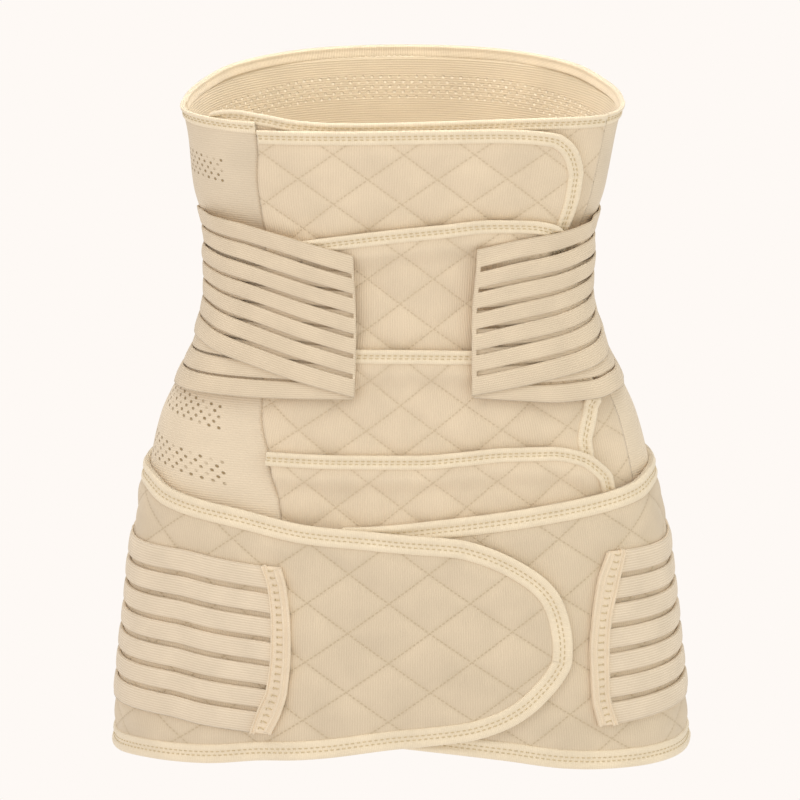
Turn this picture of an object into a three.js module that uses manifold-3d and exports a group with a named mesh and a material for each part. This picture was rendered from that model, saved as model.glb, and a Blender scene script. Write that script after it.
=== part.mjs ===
// Abdominal binder in three layers, closed as it is worn: a tall torso wrap with four
// quilted front tabs, a waist belt of slitted elastic straps, and a wide quilted hip belt
// with slitted elastic straps of its own.
//
// Millimetres, +Z up. The front faces -Y and the viewer's right is +X. The origin is the
// middle of the hollow at the waist line. Places on the cloth are given by their turn, in
// degrees from the middle of the front towards +X, and by their height over the waist
// line. A turn past 180 goes on round the back, so 300 is also -60. Every layer lies on
// the same form at its own distance from it, so that no two layers meet.
import * as THREE from 'three';
import Module from 'manifold-3d';

const wasm = await Module();
wasm.setup();

// ---------------------------------------------------------------- the form of the body
const rimHeight = 128; // waist line up to the rim at the back
const hipDrop = 302; // waist line down to the hem at the sides
const rimHalfWidth = 137.8;
const waistHalfWidth = 116.3;
const hipHalfWidth = 180.2;
const rimHalfDepth = 101;
const waistHalfDepth = 90;
const hipHalfDepth = 114;
const turnStep = 10; // degrees between the upright lines of the form

// ------------------------------------------------------------------- cloth and belts
const knit = 1.4; // elastic knit of the back and side panel
const liningPanel = 2.0; // front panel under the tabs
const quilt = 2.4; // quilted tabs
const elastic = 1.5; // waist straps
const hipQuilt = 3.0; // quilted hip belt
const hipElastic = 2.0; // hip straps
const endTab = 3.2; // hook tabs on the ends of the hip straps
const bindingProud = 0.7; // how far a binding stands over its panel
const clear = 0.7; // room between two worn layers
const butt = 0.3; // room between two pieces that meet edge to edge

const rimBinding = 8;
const tabBinding = 9;
const hipBinding = 12;
const tabOverlap = 12; // height of a tab that lies under the next one
const slitWidth = 2.4;
const stripCount = 7; // elastic strips in a strap
const eyeletSize = 3.0;
const eyeletPitch = 5.4;
const eyeletRows = 3;

// One row for each section of the form, from the rim down to the hem. height is a share
// of rimHeight over the waist and of hipDrop under it. wide and deep say how far the
// section has grown from the waist's size to the rim's or the hip's. widest is where the
// widest line stands, as a share of the depth from the front. square is the roundness of
// the front, 2 for an ellipse. lean moves the section sideways, a share of the waist.
const SECTIONS = [
  { height: 1.0, wide: 1.0, deep: 1.0, widest: 0.25, square: 3.0, lean: 0.024 },
  { height: 0.8, wide: 0.73, deep: 0.87, widest: 0.265, square: 2.95, lean: 0.022 },
  { height: 0.52, wide: 0.512, deep: 0.52, widest: 0.3, square: 2.8, lean: 0.01 },
  { height: 0.25, wide: 0.093, deep: 0.15, widest: 0.33, square: 2.65, lean: 0.006 },
  { height: 0.0, wide: 0.0, deep: 0.0, widest: 0.34, square: 2.6, lean: 0.001 },
  { height: -0.1, wide: 0.116, deep: 0.03, widest: 0.345, square: 2.6, lean: 0.002 },
  { height: -0.19, wide: 0.321, deep: 0.1, widest: 0.35, square: 2.6, lean: 0.004 },
  { height: -0.28, wide: 0.51, deep: 0.19, widest: 0.36, square: 2.55, lean: 0.001 },
  { height: -0.4, wide: 0.645, deep: 0.35, widest: 0.37, square: 2.5, lean: 0.006 },
  { height: -0.55, wide: 0.761, deep: 0.57, widest: 0.385, square: 2.5, lean: 0.011 },
  { height: -0.72, wide: 0.853, deep: 0.81, widest: 0.4, square: 2.45, lean: 0.012 },
  { height: -0.87, wide: 0.94, deep: 0.95, widest: 0.41, square: 2.4, lean: 0.012 },
  { height: -1.0, wide: 1.0, deep: 1.0, widest: 0.42, square: 2.4, lean: 0.017 },
];
const backRoundness = 2.1;

const mix = (a, b, share) => a + (b - a) * share;
const ease = (from, to, value) => {
  const share = THREE.MathUtils.clamp((value - from) / (to - from), 0, 1);
  return share * share * (3 - 2 * share);
};
// A height from its share: of rimHeight over the waist, of hipDrop under it.
const heightOf = (share) => share * (share >= 0 ? rimHeight : hipDrop);

function sectionSizes(row) {
  const [width, depth] = row.height >= 0 ? [rimHalfWidth, rimHalfDepth] : [hipHalfWidth, hipHalfDepth];
  return {
    halfWidth: mix(waistHalfWidth, width, row.wide),
    halfDepth: mix(waistHalfDepth, depth, row.deep),
  };
}

// One point of a section with the direction that faces away from the body there.
function sectionPoint(row, turn) {
  const { halfWidth, halfDepth } = sectionSizes(row);
  const angle = THREE.MathUtils.degToRad(turn);
  const side = Math.sin(angle);
  const ahead = Math.cos(angle);
  const widestY = halfDepth * (2 * row.widest - 1);
  const reach = ahead >= 0 ? halfDepth + widestY : halfDepth - widestY;
  const power = ahead >= 0 ? row.square : backRoundness;
  const grow = (Math.abs(side) ** power + Math.abs(ahead) ** power) ** (-1 / power);
  const away = new THREE.Vector3(
    (Math.sign(side) * Math.abs(side * grow) ** (power - 1)) / halfWidth,
    (-Math.sign(ahead) * Math.abs(ahead * grow) ** (power - 1)) / reach,
    0,
  ).normalize();
  const point = new THREE.Vector3(
    halfWidth * side * grow + row.lean * waistHalfWidth,
    widestY - reach * ahead * grow,
    heightOf(row.height),
  );
  return { point, away };
}

const columns = Math.round(360 / turnStep);
const HEIGHTS = SECTIONS.map((row) => heightOf(row.height));
const NET = SECTIONS.map((row) => Array.from({ length: columns }, (_, i) => sectionPoint(row, i * turnStep)));

// The point of the form at a turn and a height, moved away from the body.
function onForm(turn, height, away) {
  const column = Math.floor(turn / turnStep);
  const across = turn / turnStep - column;
  let band = HEIGHTS.findIndex((_, j) => j > 0 && height >= HEIGHTS[j]) - 1;
  if (band < 0) band = HEIGHTS.length - 2;
  const down = (height - HEIGHTS[band]) / (HEIGHTS[band + 1] - HEIGHTS[band]);
  const left = ((column % columns) + columns) % columns;
  const right = (left + 1) % columns;
  const blend = (key) => {
    const upper = NET[band][left][key].clone().lerp(NET[band][right][key], across);
    const lower = NET[band + 1][left][key].clone().lerp(NET[band + 1][right][key], across);
    return upper.lerp(lower, down);
  };
  return blend('point').addScaledVector(blend('away'), away);
}

// ------------------------------------------------------- how far out each layer lies
// The front panel's left end slides under the back panel, which steps out over it.
const tongueEnd = -60;
const wrapTurn = (turn) => THREE.MathUtils.euclideanModulo(turn + 180, 360) - 180;
// A level that runs straight from one upright line of the form to the next.
const onLines = (level) => (turn) => {
  const column = Math.floor(turn / turnStep);
  return mix(level(column * turnStep), level((column + 1) * turnStep), turn / turnStep - column);
};
const backLevel = onLines((turn) => {
  const over = liningPanel + bindingProud + clear;
  return wrapTurn(turn) < 0 ? over * ease(-110, tongueEnd - 6, wrapTurn(turn)) : 0;
});
const tabLevel = liningPanel + bindingProud + clear;
const overTab = tabLevel + quilt + bindingProud + clear;
const waistFront = overTab + quilt + bindingProud + clear;
const hipFront = tabLevel + quilt + bindingProud + clear;
// 1 over the tabs at the front, 0 at the sides and back.
const inFront = onLines((turn) => ease(85, 50, Math.abs(wrapTurn(turn))));
const sideLevel = (turn) => backLevel(turn) + knit + clear;
const waistLevel = (turn) => mix(sideLevel(turn), waistFront, inFront(turn));
const strapLevel = (turn) => waistLevel(turn) + elastic + clear;
// The hip belt goes once round from its inner end at the front and climbs over it.
const overlapStart = 360 - 31;
const overlapFull = 360 - 20;
const hipLevel = onLines(
  (turn) =>
    mix(sideLevel(turn), hipFront, inFront(turn)) +
    (hipQuilt + bindingProud + clear) * ease(overlapStart, overlapFull, turn),
);
const hipStrapLevel = (turn) => hipLevel(turn) + hipQuilt + clear;

// --------------------------------------------------------------------- edge lines
// A line is a list of [turn, height]. The tables give heights as shares.
const line = (rows) => rows.map((row) => [row.turn, heightOf(row.height)]);
// The height of a line at a turn.
function along(points, turn) {
  const last = points.length - 1;
  if (turn <= points[0][0]) return points[0][1];
  for (let i = 0; i < last; i++) {
    const [[t0, h0], [t1, h1]] = [points[i], points[i + 1]];
    if (turn <= t1) return mix(h0, h1, (turn - t0) / (t1 - t0));
  }
  return points[last][1];
}
// The turn of an upright line, given from its top down, at a height.
function across(points, height) {
  const flipped = points.map(([turn, h]) => [-h, turn]);
  return along(flipped, -height);
}
// A line between two turns that follows a height function.
function sweep(from, to, heightAt) {
  const count = Math.max(1, Math.round(Math.abs(to - from) / turnStep));
  return Array.from({ length: count + 1 }, (_, i) => {
    const turn = mix(from, to, i / count);
    return [turn, heightAt(turn)];
  });
}

// Points added where a line crosses the lines of the form, so that it bends with it.
function followForm(points, shortest = 4) {
  const out = [points[0]];
  for (let i = 1; i < points.length; i++) {
    const [a, b] = [points[i - 1], points[i]];
    const cuts = [1];
    const first = Math.ceil(Math.min(a[0], b[0]) / turnStep);
    const final = Math.floor(Math.max(a[0], b[0]) / turnStep);
    for (let k = first; k <= final; k++) cuts.push((k * turnStep - a[0]) / (b[0] - a[0]));
    for (const h of HEIGHTS) cuts.push((h - a[1]) / (b[1] - a[1]));
    for (const share of cuts.filter((c) => c > 0 && c <= 1).sort((p, q) => p - q)) {
      const next = [mix(a[0], b[0], share), mix(a[1], b[1], share)];
      const gap = onForm(...next, 0).distanceTo(onForm(...out.at(-1), 0));
      if (gap > shortest) out.push(next);
    }
  }
  return out;
}

// The same line moved to its right-hand side along the cloth.
function inset(points, distance) {
  return points.map((point, i) => {
    const before = points[Math.max(i - 1, 0)];
    const after = points[Math.min(i + 1, points.length - 1)];
    const mmPerTurn = onForm(point[0] + 1, point[1], 0).distanceTo(onForm(point[0] - 1, point[1], 0)) / 2;
    const run = (after[0] - before[0]) * mmPerTurn;
    const rise = after[1] - before[1];
    const length = Math.hypot(run, rise);
    return [point[0] + ((rise / length) * distance) / mmPerTurn, point[1] - (run / length) * distance];
  });
}

// ------------------------------------------------------------------ solids of cloth
function solidOf(points, faces) {
  const geometry = new THREE.BufferGeometry();
  geometry.setAttribute('position', new THREE.Float32BufferAttribute(points.flatMap((p) => p.toArray()), 3));
  geometry.setIndex(faces.flat());
  return geometry;
}

// The part of a flat outline on one side of a line of the form.
function keepSide(ring, axis, limit, sign) {
  const out = [];
  ring.forEach((b, i) => {
    const a = ring.at(i - 1);
    const [da, db] = [sign * (a[axis] - limit), sign * (b[axis] - limit)];
    if (da * db < 0) {
      const cut = a.map((value, k) => mix(value, b[k], da / (da - db)));
      cut[axis] = limit;
      out.push(cut);
    }
    if (db >= 0) out.push(b);
  });
  return out;
}

// A closed solid of cloth from a flat outline of [turn, height], cut along the lines of
// the form so that it bends with it, between two distances from the body.
function clothSolid(ring, inner, outer) {
  const round = (value) => Math.round(value * 50) / 50;
  const spots = new Map();
  const flat = [];
  const spot = ([turn, height]) => {
    const key = `${round(turn)} ${round(height)}`;
    if (!spots.has(key)) {
      spots.set(key, flat.length);
      flat.push([round(turn), round(height)]);
    }
    return spots.get(key);
  };
  const tops = [];
  const turns = ring.map((p) => p[0]);
  const first = Math.floor(Math.min(...turns) / turnStep);
  const final = Math.ceil(Math.max(...turns) / turnStep);
  for (let column = first; column < final; column++) {
    const strip = keepSide(keepSide(ring, 0, column * turnStep, 1), 0, (column + 1) * turnStep, -1);
    for (let band = 0; band < HEIGHTS.length - 1; band++) {
      const high = band === 0 ? Infinity : HEIGHTS[band];
      const low = band === HEIGHTS.length - 2 ? -Infinity : HEIGHTS[band + 1];
      const cell = keepSide(keepSide(strip, 1, high, -1), 1, low, 1);
      const corners = cell.map(spot).filter((id, i, all) => id !== all.at(i - 1));
      if (corners.length < 3) continue;
      const shape = corners.map((id) => new THREE.Vector2(...flat[id]));
      const turned = THREE.ShapeUtils.isClockWise(shape);
      if (turned) {
        shape.reverse();
        corners.reverse();
      }
      for (const face of THREE.ShapeUtils.triangulateShape(shape, [])) tops.push(face.map((i) => corners[i]));
    }
  }
  return shellOf(flat, tops, inner, outer);
}

// Two faces of cloth and the walls between them at every free edge.
function shellOf(flat, tops, inner, outer) {
  const size = flat.length;
  const points = [
    ...flat.map(([turn, height]) => onForm(turn, height, outer(turn, height))),
    ...flat.map(([turn, height]) => onForm(turn, height, inner(turn, height))),
  ];
  const faces = tops.flatMap(([a, b, c]) => [[a, b, c], [a + size, c + size, b + size]]);
  const edges = new Set(tops.flatMap(([a, b, c]) => [`${a} ${b}`, `${b} ${c}`, `${c} ${a}`]));
  for (const edge of edges) {
    const [a, b] = edge.split(' ').map(Number);
    if (!edges.has(`${b} ${a}`)) faces.push([b, a, a + size], [b, a + size, b + size]);
  }
  return solidOf(points, faces);
}

// The outer half of a binding's section: in is a share of its width from the edge, out a
// share of its thickness.
const BINDING_SECTION = [
  { in: 0, out: 0 },
  { in: 0, out: 0.7 },
  { in: 0.25, out: 1 },
  { in: 0.85, out: 1 },
  { in: 1, out: 0 },
];

// A binding along an edge line, on the right-hand side of it.
function bindingSolid(edge, width, inner, outer) {
  const path = edge;
  const rows = BINDING_SECTION.map((corner) => inset(path, corner.in * width));
  const sides = rows.length;
  const points = path.flatMap((_, i) =>
    rows.map((row, k) => {
      const [turn, height] = row[i];
      return onForm(turn, height, mix(inner(...path[i]), outer(...path[i]), BINDING_SECTION[k].out));
    }),
  );
  const faces = [];
  for (let i = 0; i < path.length - 1; i++) {
    for (let k = 0; k < sides; k++) {
      const [a, b] = [i * sides + k, i * sides + ((k + 1) % sides)];
      faces.push([a, b, b + sides], [a, b + sides, a + sides]);
    }
  }
  const end = (path.length - 1) * sides;
  for (let k = 1; k < sides - 1; k++) {
    faces.push([0, k + 1, k], [end, end + k, end + k + 1]);
  }
  return solidOf(points, faces);
}

// Openings cut right through a piece of cloth.
function cutOut(geometry, cutters) {
  const toManifold = (g) =>
    new wasm.Manifold(
      new wasm.Mesh({
        numProp: 3,
        vertProperties: Float32Array.from(g.attributes.position.array),
        triVerts: Uint32Array.from(g.index.array),
      }),
    );
  let solid = toManifold(geometry);
  for (const cutter of cutters) solid = solid.subtract(toManifold(cutter));
  const { vertProperties, triVerts } = solid.getMesh();
  const out = new THREE.BufferGeometry();
  out.setAttribute('position', new THREE.BufferAttribute(vertProperties, 3));
  out.setIndex(new THREE.BufferAttribute(triVerts, 1));
  return out;
}

const binder = new THREE.Group();
function addPiece(group, name, geometry, finish) {
  const mesh = new THREE.Mesh(geometry, new THREE.MeshStandardMaterial({ metalness: 0, ...finish }));
  mesh.name = name;
  group.add(mesh);
}

const knitFinish = { color: '#e2ceaf', roughness: 0.9 };
const quiltFinish = { color: '#e8d4b6', roughness: 0.88 };
const hipQuiltFinish = { color: '#d9c7aa', roughness: 0.88 };
const bindingFinish = { color: '#f4e3c6', roughness: 0.8 };
const elasticFinish = { color: '#dcc9ad', roughness: 0.85 };
const hookFinish = { color: '#d0bda0', roughness: 0.9 };

// ------------------------------------------------------------------------ torso wrap
const wrap = new THREE.Group();
binder.add(wrap);

const wrapHem = heightOf(-0.58);
const LEFT_SEAM = line([
  { turn: -37.5, height: 1.0 },
  { turn: -38.5, height: 0.6 },
  { turn: -39, height: 0.3 },
  { turn: -38, height: 0.0 },
  { turn: -35, height: -0.2 },
  { turn: -30, height: -0.33 },
  { turn: -26.5, height: -0.45 },
  { turn: -25, height: -0.62 },
]);
const RIGHT_SEAM = line([
  { turn: 58.5, height: 1.0 },
  { turn: 58.5, height: 0.3 },
  { turn: 61.5, height: -0.2 },
  { turn: 62, height: -0.62 },
]);
// The rim of the back panel, from the right seam round the back to the left seam.
const BACK_RIM = line([
  { turn: 58.5, height: 0.918 },
  { turn: 75, height: 0.925 },
  { turn: 92, height: 0.94 },
  { turn: 112, height: 0.955 },
  { turn: 130, height: 0.985 },
  { turn: 160, height: 1.0 },
  { turn: 200, height: 1.0 },
  { turn: 230, height: 0.985 },
  { turn: 250, height: 0.955 },
  { turn: 270, height: 0.94 },
  { turn: 290, height: 0.925 },
  { turn: 322.1, height: 0.905 },
]);
// The front panel's rim, from its rounded end inside the left side to the right seam.
const FRONT_RIM = line([
  { turn: tongueEnd, height: 0.6 },
  { turn: tongueEnd + 0.8, height: 0.74 },
  { turn: tongueEnd + 3.5, height: 0.85 },
  { turn: tongueEnd + 8.5, height: 0.915 },
  { turn: tongueEnd + 15, height: 0.92 },
  { turn: -34, height: 0.905 },
  { turn: -17, height: 0.902 },
  { turn: 0, height: 0.907 },
  { turn: 32, height: 0.921 },
  { turn: 58.1, height: 0.914 },
]);

// The part of a seam between two heights, from the upper one down.
const uprightSeam = (seam, top, bottom, shift) => [
  [across(seam, top) + shift, top],
  ...seam.filter(([, height]) => height < top - 2 && height > bottom + 2).map(([turn, height]) => [turn + shift, height]),
  [across(seam, bottom) + shift, bottom],
];
const seamGap = 0.12; // degrees on each side of a seam, about butt wide

const rimLine = followForm(BACK_RIM);
const underRim = inset(rimLine, rimBinding + butt);
const backRing = [
  ...underRim,
  ...uprightSeam(LEFT_SEAM, underRim.at(-1)[1], wrapHem, 360 - seamGap).slice(1),
  ...uprightSeam(RIGHT_SEAM, underRim[0][1], wrapHem, seamGap).reverse(),
].filter(([turn], i, all) => i === 0 || turn !== all[i - 1][0] || all[i][1] !== all[i - 1][1]);

// Bands of eyelets that ventilate the side: where each band starts, how long it is and
// how it slants. height is a share of the form's height and fall of the band's length.
const EYELET_BANDS = [
  { turn: 306, height: 0.72, count: 3, fall: 0.0 },
  { turn: 302, height: -0.225, count: 4, fall: 0.3 },
  { turn: 300, height: -0.365, count: 4, fall: 0.28 },
];
function eyelets() {
  const cutters = [];
  for (const band of EYELET_BANDS) {
    for (let row = 0; row < eyeletRows; row++) {
      for (let i = 0; i < band.count; i++) {
        const height = heightOf(band.height);
        const mmPerTurn = onForm(band.turn + 1, height, 0).distanceTo(onForm(band.turn, height, 0));
        const step = (i + (row % 2) / 2) * eyeletPitch;
        const turn = band.turn + step / mmPerTurn;
        const drop = height - row * eyeletPitch * 0.8 - step * band.fall;
        const half = eyeletSize / 2;
        const corners = [[turn - half / mmPerTurn, drop], [turn, drop - half], [turn + half / mmPerTurn, drop], [turn, drop + half]];
        const level = backLevel(turn);
        const points = [knit * 2, -knit].flatMap((out) => corners.map((corner) => onForm(...corner, level + out)));
        const faces = [[0, 1, 2], [0, 2, 3], [4, 6, 5], [4, 7, 6]];
        for (let k = 0; k < 4; k++) {
          const next = (k + 1) % 4;
          faces.push([next, k, k + 4], [next, k + 4, next + 4]);
        }
        cutters.push(solidOf(points, faces));
      }
    }
  }
  return cutters;
}

const backPanel = clothSolid(backRing, backLevel, (turn) => backLevel(turn) + knit);
addPiece(wrap, 'wrap_back_panel', cutOut(backPanel, eyelets()), knitFinish);
addPiece(
  wrap,
  'wrap_rim_binding',
  bindingSolid(rimLine, rimBinding, backLevel, (turn) => backLevel(turn) + knit + bindingProud),
  bindingFinish,
);

const frontLine = followForm(FRONT_RIM);
const underFront = inset(frontLine, rimBinding + butt);
const frontRing = [
  ...underFront,
  ...uprightSeam(RIGHT_SEAM, underFront.at(-1)[1], wrapHem, -seamGap).slice(1),
  ...sweep(tongueEnd + 10, tongueEnd + 10, () => wrapHem).slice(1),
  [tongueEnd + 4, heightOf(-0.5)],
  [tongueEnd, heightOf(-0.4)],
  [tongueEnd, heightOf(0.57)],
];
const onBody = () => 0;
addPiece(wrap, 'wrap_front_panel', clothSolid(frontRing, onBody, () => liningPanel), quiltFinish);
addPiece(
  wrap,
  'wrap_front_binding',
  bindingSolid(frontLine, rimBinding, onBody, () => liningPanel + bindingProud),
  bindingFinish,
);

// The four tabs run from the left seam to rounded ends at the right. Each table follows
// the bound edge along the top and down the end; each tab's lower edge lies under the
// next tab's top.
const TABS = [
  {
    name: 'wrap_tab_1',
    under: -0.02,
    edge: [
      { turn: -37.6, height: 0.865 },
      { turn: -17, height: 0.867 },
      { turn: 4, height: 0.873 },
      { turn: 22, height: 0.876 },
      { turn: 30, height: 0.87 },
      { turn: 39.3, height: 0.845 },
      { turn: 44.8, height: 0.785 },
      { turn: 48.3, height: 0.705 },
      { turn: 50.3, height: 0.62 },
      { turn: 50.8, height: 0.43 },
      { turn: 50.5, height: 0.31 },
    ],
  },
  {
    name: 'wrap_tab_2',
    under: -0.22,
    edge: [
      { turn: -39, height: 0.28 },
      { turn: -27, height: 0.32 },
      { turn: -16, height: 0.35 },
      { turn: -5, height: 0.375 },
      { turn: 12, height: 0.405 },
      { turn: 24, height: 0.425 },
      { turn: 35, height: 0.415 },
      { turn: 43.3, height: 0.385 },
      { turn: 48.3, height: 0.33 },
      { turn: 51.3, height: 0.22 },
      { turn: 52.8, height: 0.05 },
      { turn: 52.8, height: -0.08 },
    ],
  },
  {
    name: 'wrap_tab_3',
    under: -0.36,
    edge: [
      { turn: -37, height: -0.092 },
      { turn: 0, height: -0.093 },
      { turn: 20, height: -0.096 },
      { turn: 36, height: -0.103 },
      { turn: 47.3, height: -0.123 },
      { turn: 52.3, height: -0.158 },
      { turn: 53.8, height: -0.195 },
      { turn: 52.8, height: -0.222 },
      { turn: 50.8, height: -0.25 },
      { turn: 48.3, height: -0.28 },
      { turn: 47, height: -0.303 },
    ],
  },
  {
    name: 'wrap_tab_4',
    under: -0.58,
    edge: [
      { turn: -30.5, height: -0.31 },
      { turn: -14, height: -0.313 },
      { turn: 4, height: -0.313 },
      { turn: 14, height: -0.307 },
      { turn: 24, height: -0.3 },
      { turn: 35, height: -0.302 },
      { turn: 43.3, height: -0.319 },
      { turn: 47.8, height: -0.345 },
      { turn: 50.8, height: -0.375 },
      { turn: 52.3, height: -0.42 },
      { turn: 53.3, height: -0.48 },
      { turn: 53.3, height: -0.56 },
    ],
  },
];

TABS.forEach((tab, number) => {
  const bound = line(tab.edge);
  bound[0][0] = across(LEFT_SEAM, bound[0][1]) + seamGap;
  const edge = followForm(bound);
  const topAt = (turn) => along(line(tab.edge).filter((_, i) => i < 7), turn);
  // A tab lies over the one above it at its top and comes down to the panel under it.
  const level = (turn, height) => {
    if (number === 0) return tabLevel;
    const top = topAt(turn);
    return mix(overTab, tabLevel, ease(top - tabOverlap - 2, top - tabOverlap - 14, height));
  };
  const next = TABS[number + 1];
  const lowerAt = (turn) => (next ? along(line(next.edge).slice(0, 7), turn) - tabOverlap : wrapHem);
  const inside = inset(edge, tabBinding + butt);
  const [endTurn, endHeight] = inside.at(-1);
  const lowEnd = Math.min(lowerAt(endTurn), endHeight - 1);
  const seamTop = inside[0][1];
  inside[0][0] = across(LEFT_SEAM, seamTop) + seamGap;
  const low = lowerAt(-39);
  const ring = [
    ...inside,
    [endTurn, lowEnd],
    ...sweep(endTurn, across(LEFT_SEAM, low), (turn) => Math.min(lowerAt(turn), lowEnd + 40)).slice(1, -1),
    ...uprightSeam(LEFT_SEAM, seamTop, low, seamGap).reverse(),
  ].filter(([turn, height], i, all) => {
    const [t, h] = all.at(i - 1);
    return Math.abs(turn - t) > 0.2 || Math.abs(height - h) > 0.5;
  });
  addPiece(wrap, tab.name, clothSolid(ring, level, (turn, height) => level(turn, height) + quilt), quiltFinish);
  addPiece(
    wrap,
    `${tab.name}_binding`,
    bindingSolid(edge, tabBinding, level, (turn, height) => level(turn, height) + quilt + bindingProud),
    bindingFinish,
  );
});

// ------------------------------------------------------------------------ strap maker
// A strap of elastic strips between a top and a bottom edge line, from its back end to
// its front end. The slits stop short of both ends, where the strips are fused together.
// An end is a turn or an upright line.
function strapSolid({ top, bottom, ends, fused }, inner, thickness) {
  const heightAt = (turn, down) => mix(along(top, turn), along(bottom, turn), down);
  const endAt = (end, down) => (Array.isArray(end) ? across(end, heightAt(across(end, heightAt(end[0][0], down)), down)) : end);
  const [from, to] = ends.map((end) => endAt(end, 0.5));
  const middles = [];
  for (let k = Math.ceil((from + fused[0] + 2) / turnStep); k * turnStep < to - fused[1] - 2; k++) middles.push(k * turnStep);
  const stops = (down) => [endAt(ends[0], down), endAt(ends[0], down) + fused[0], ...middles, endAt(ends[1], down) - fused[1], endAt(ends[1], down)];
  const flat = [];
  const rows = 2 * stripCount;
  for (let j = 0; j < rows; j++) {
    const slit = Math.floor((j + 1) / 2) / stripCount;
    for (const turn of stops(slit)) {
      const room = along(top, turn) - along(bottom, turn);
      const half = j === 0 || j === rows - 1 ? 0 : slitWidth / 2 / room;
      flat.push([turn, heightAt(turn, slit + (j % 2 ? -half : half))]);
    }
  }
  const wide = middles.length + 4;
  const tops = [];
  for (let j = 0; j < rows - 1; j++) {
    for (let i = 0; i < wide - 1; i++) {
      const inSlit = j % 2 === 1 && i > 0 && i < wide - 2;
      const [a, b] = [j * wide + i, j * wide + i + 1];
      if (!inSlit) tops.push([a, a + wide, b + wide], [a, b + wide, b]);
    }
  }
  return shellOf(flat, tops, inner, (turn) => inner(turn) + thickness);
}

// ------------------------------------------------------------------------- waist belt
const waist = new THREE.Group();
binder.add(waist);

const beltSide = 96; // turn at which the straps meet the plain back of a belt
const WAIST_STRAPS = {
  left: {
    top: [
      { turn: -beltSide, height: 0.39 },
      { turn: -66, height: 0.417 },
      { turn: -48, height: 0.398 },
      { turn: -36, height: 0.355 },
      { turn: -26, height: 0.307 },
      { turn: -14, height: 0.25 },
    ],
    bottom: [
      { turn: -beltSide, height: -0.085 },
      { turn: -65, height: -0.096 },
      { turn: -54, height: -0.11 },
      { turn: -40, height: -0.131 },
      { turn: -29, height: -0.154 },
      { turn: -11.8, height: -0.19 },
    ],
    front: -1,
  },
  right: {
    top: [
      { turn: 21.8, height: 0.28 },
      { turn: 34, height: 0.322 },
      { turn: 46, height: 0.345 },
      { turn: 58, height: 0.376 },
      { turn: 75, height: 0.388 },
      { turn: beltSide, height: 0.39 },
    ],
    bottom: [
      { turn: 18.2, height: -0.187 },
      { turn: 37, height: -0.163 },
      { turn: 52, height: -0.147 },
      { turn: 62, height: -0.136 },
      { turn: beltSide, height: -0.096 },
    ],
    front: 1,
  },
};
const UNDER_STRAPS = {
  left: {
    top: [
      { turn: -beltSide, height: 0.16 },
      { turn: -40, height: 0.18 },
      { turn: -14.2, height: 0.17 },
    ],
    bottom: [
      { turn: -beltSide, height: -0.203 },
      { turn: -50, height: -0.199 },
      { turn: -21, height: -0.196 },
      { turn: -12.2, height: -0.195 },
    ],
    front: -1,
  },
  right: {
    top: [
      { turn: 21.6, height: 0.16 },
      { turn: 40, height: 0.17 },
      { turn: beltSide, height: 0.16 },
    ],
    bottom: [
      { turn: 18.6, height: -0.192 },
      { turn: 30, height: -0.202 },
      { turn: 41, height: -0.21 },
      { turn: 52, height: -0.21 },
      { turn: 62, height: -0.204 },
      { turn: beltSide, height: -0.203 },
    ],
    front: 1,
  },
};
const fusedFront = 1.2; // degrees of a strap's free end that are fused
const fusedBack = 3;
function addStrap(group, name, strap, level, thickness) {
  const [top, bottom] = [line(strap.top), line(strap.bottom)];
  const slant = [[strap.front < 0 ? top.at(-1)[0] : top[0][0], 0], [strap.front < 0 ? bottom.at(-1)[0] : bottom[0][0], 0]];
  const free = slant.map(([turn], i) => [turn, along(i ? bottom : top, turn)]);
  const shape =
    strap.front < 0
      ? { top, bottom, ends: [-beltSide, free], fused: [fusedBack, fusedFront] }
      : { top, bottom, ends: [free, beltSide], fused: [fusedFront, fusedBack] };
  addPiece(group, name, strapSolid(shape, level, thickness), elasticFinish);
}
addStrap(waist, 'waist_under_strap_left', UNDER_STRAPS.left, waistLevel, elastic);
addStrap(waist, 'waist_under_strap_right', UNDER_STRAPS.right, waistLevel, elastic);
addStrap(waist, 'waist_strap_left', WAIST_STRAPS.left, strapLevel, elastic);
addStrap(waist, 'waist_strap_right', WAIST_STRAPS.right, strapLevel, elastic);

const waistBackTop = heightOf(0.39);
const waistBackLow = heightOf(-0.203);
const backGap = 0.3; // degrees between a belt's plain back and its straps
const waistBackRing = [
  ...sweep(beltSide + backGap, 360 - beltSide - backGap, () => waistBackTop),
  ...sweep(360 - beltSide - backGap, beltSide + backGap, () => waistBackLow),
];
addPiece(
  waist,
  'waist_back_panel',
  clothSolid(waistBackRing, waistLevel, (turn) => strapLevel(turn) + elastic),
  elasticFinish,
);

// --------------------------------------------------------------------------- hip belt
const hip = new THREE.Group();
binder.add(hip);

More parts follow.
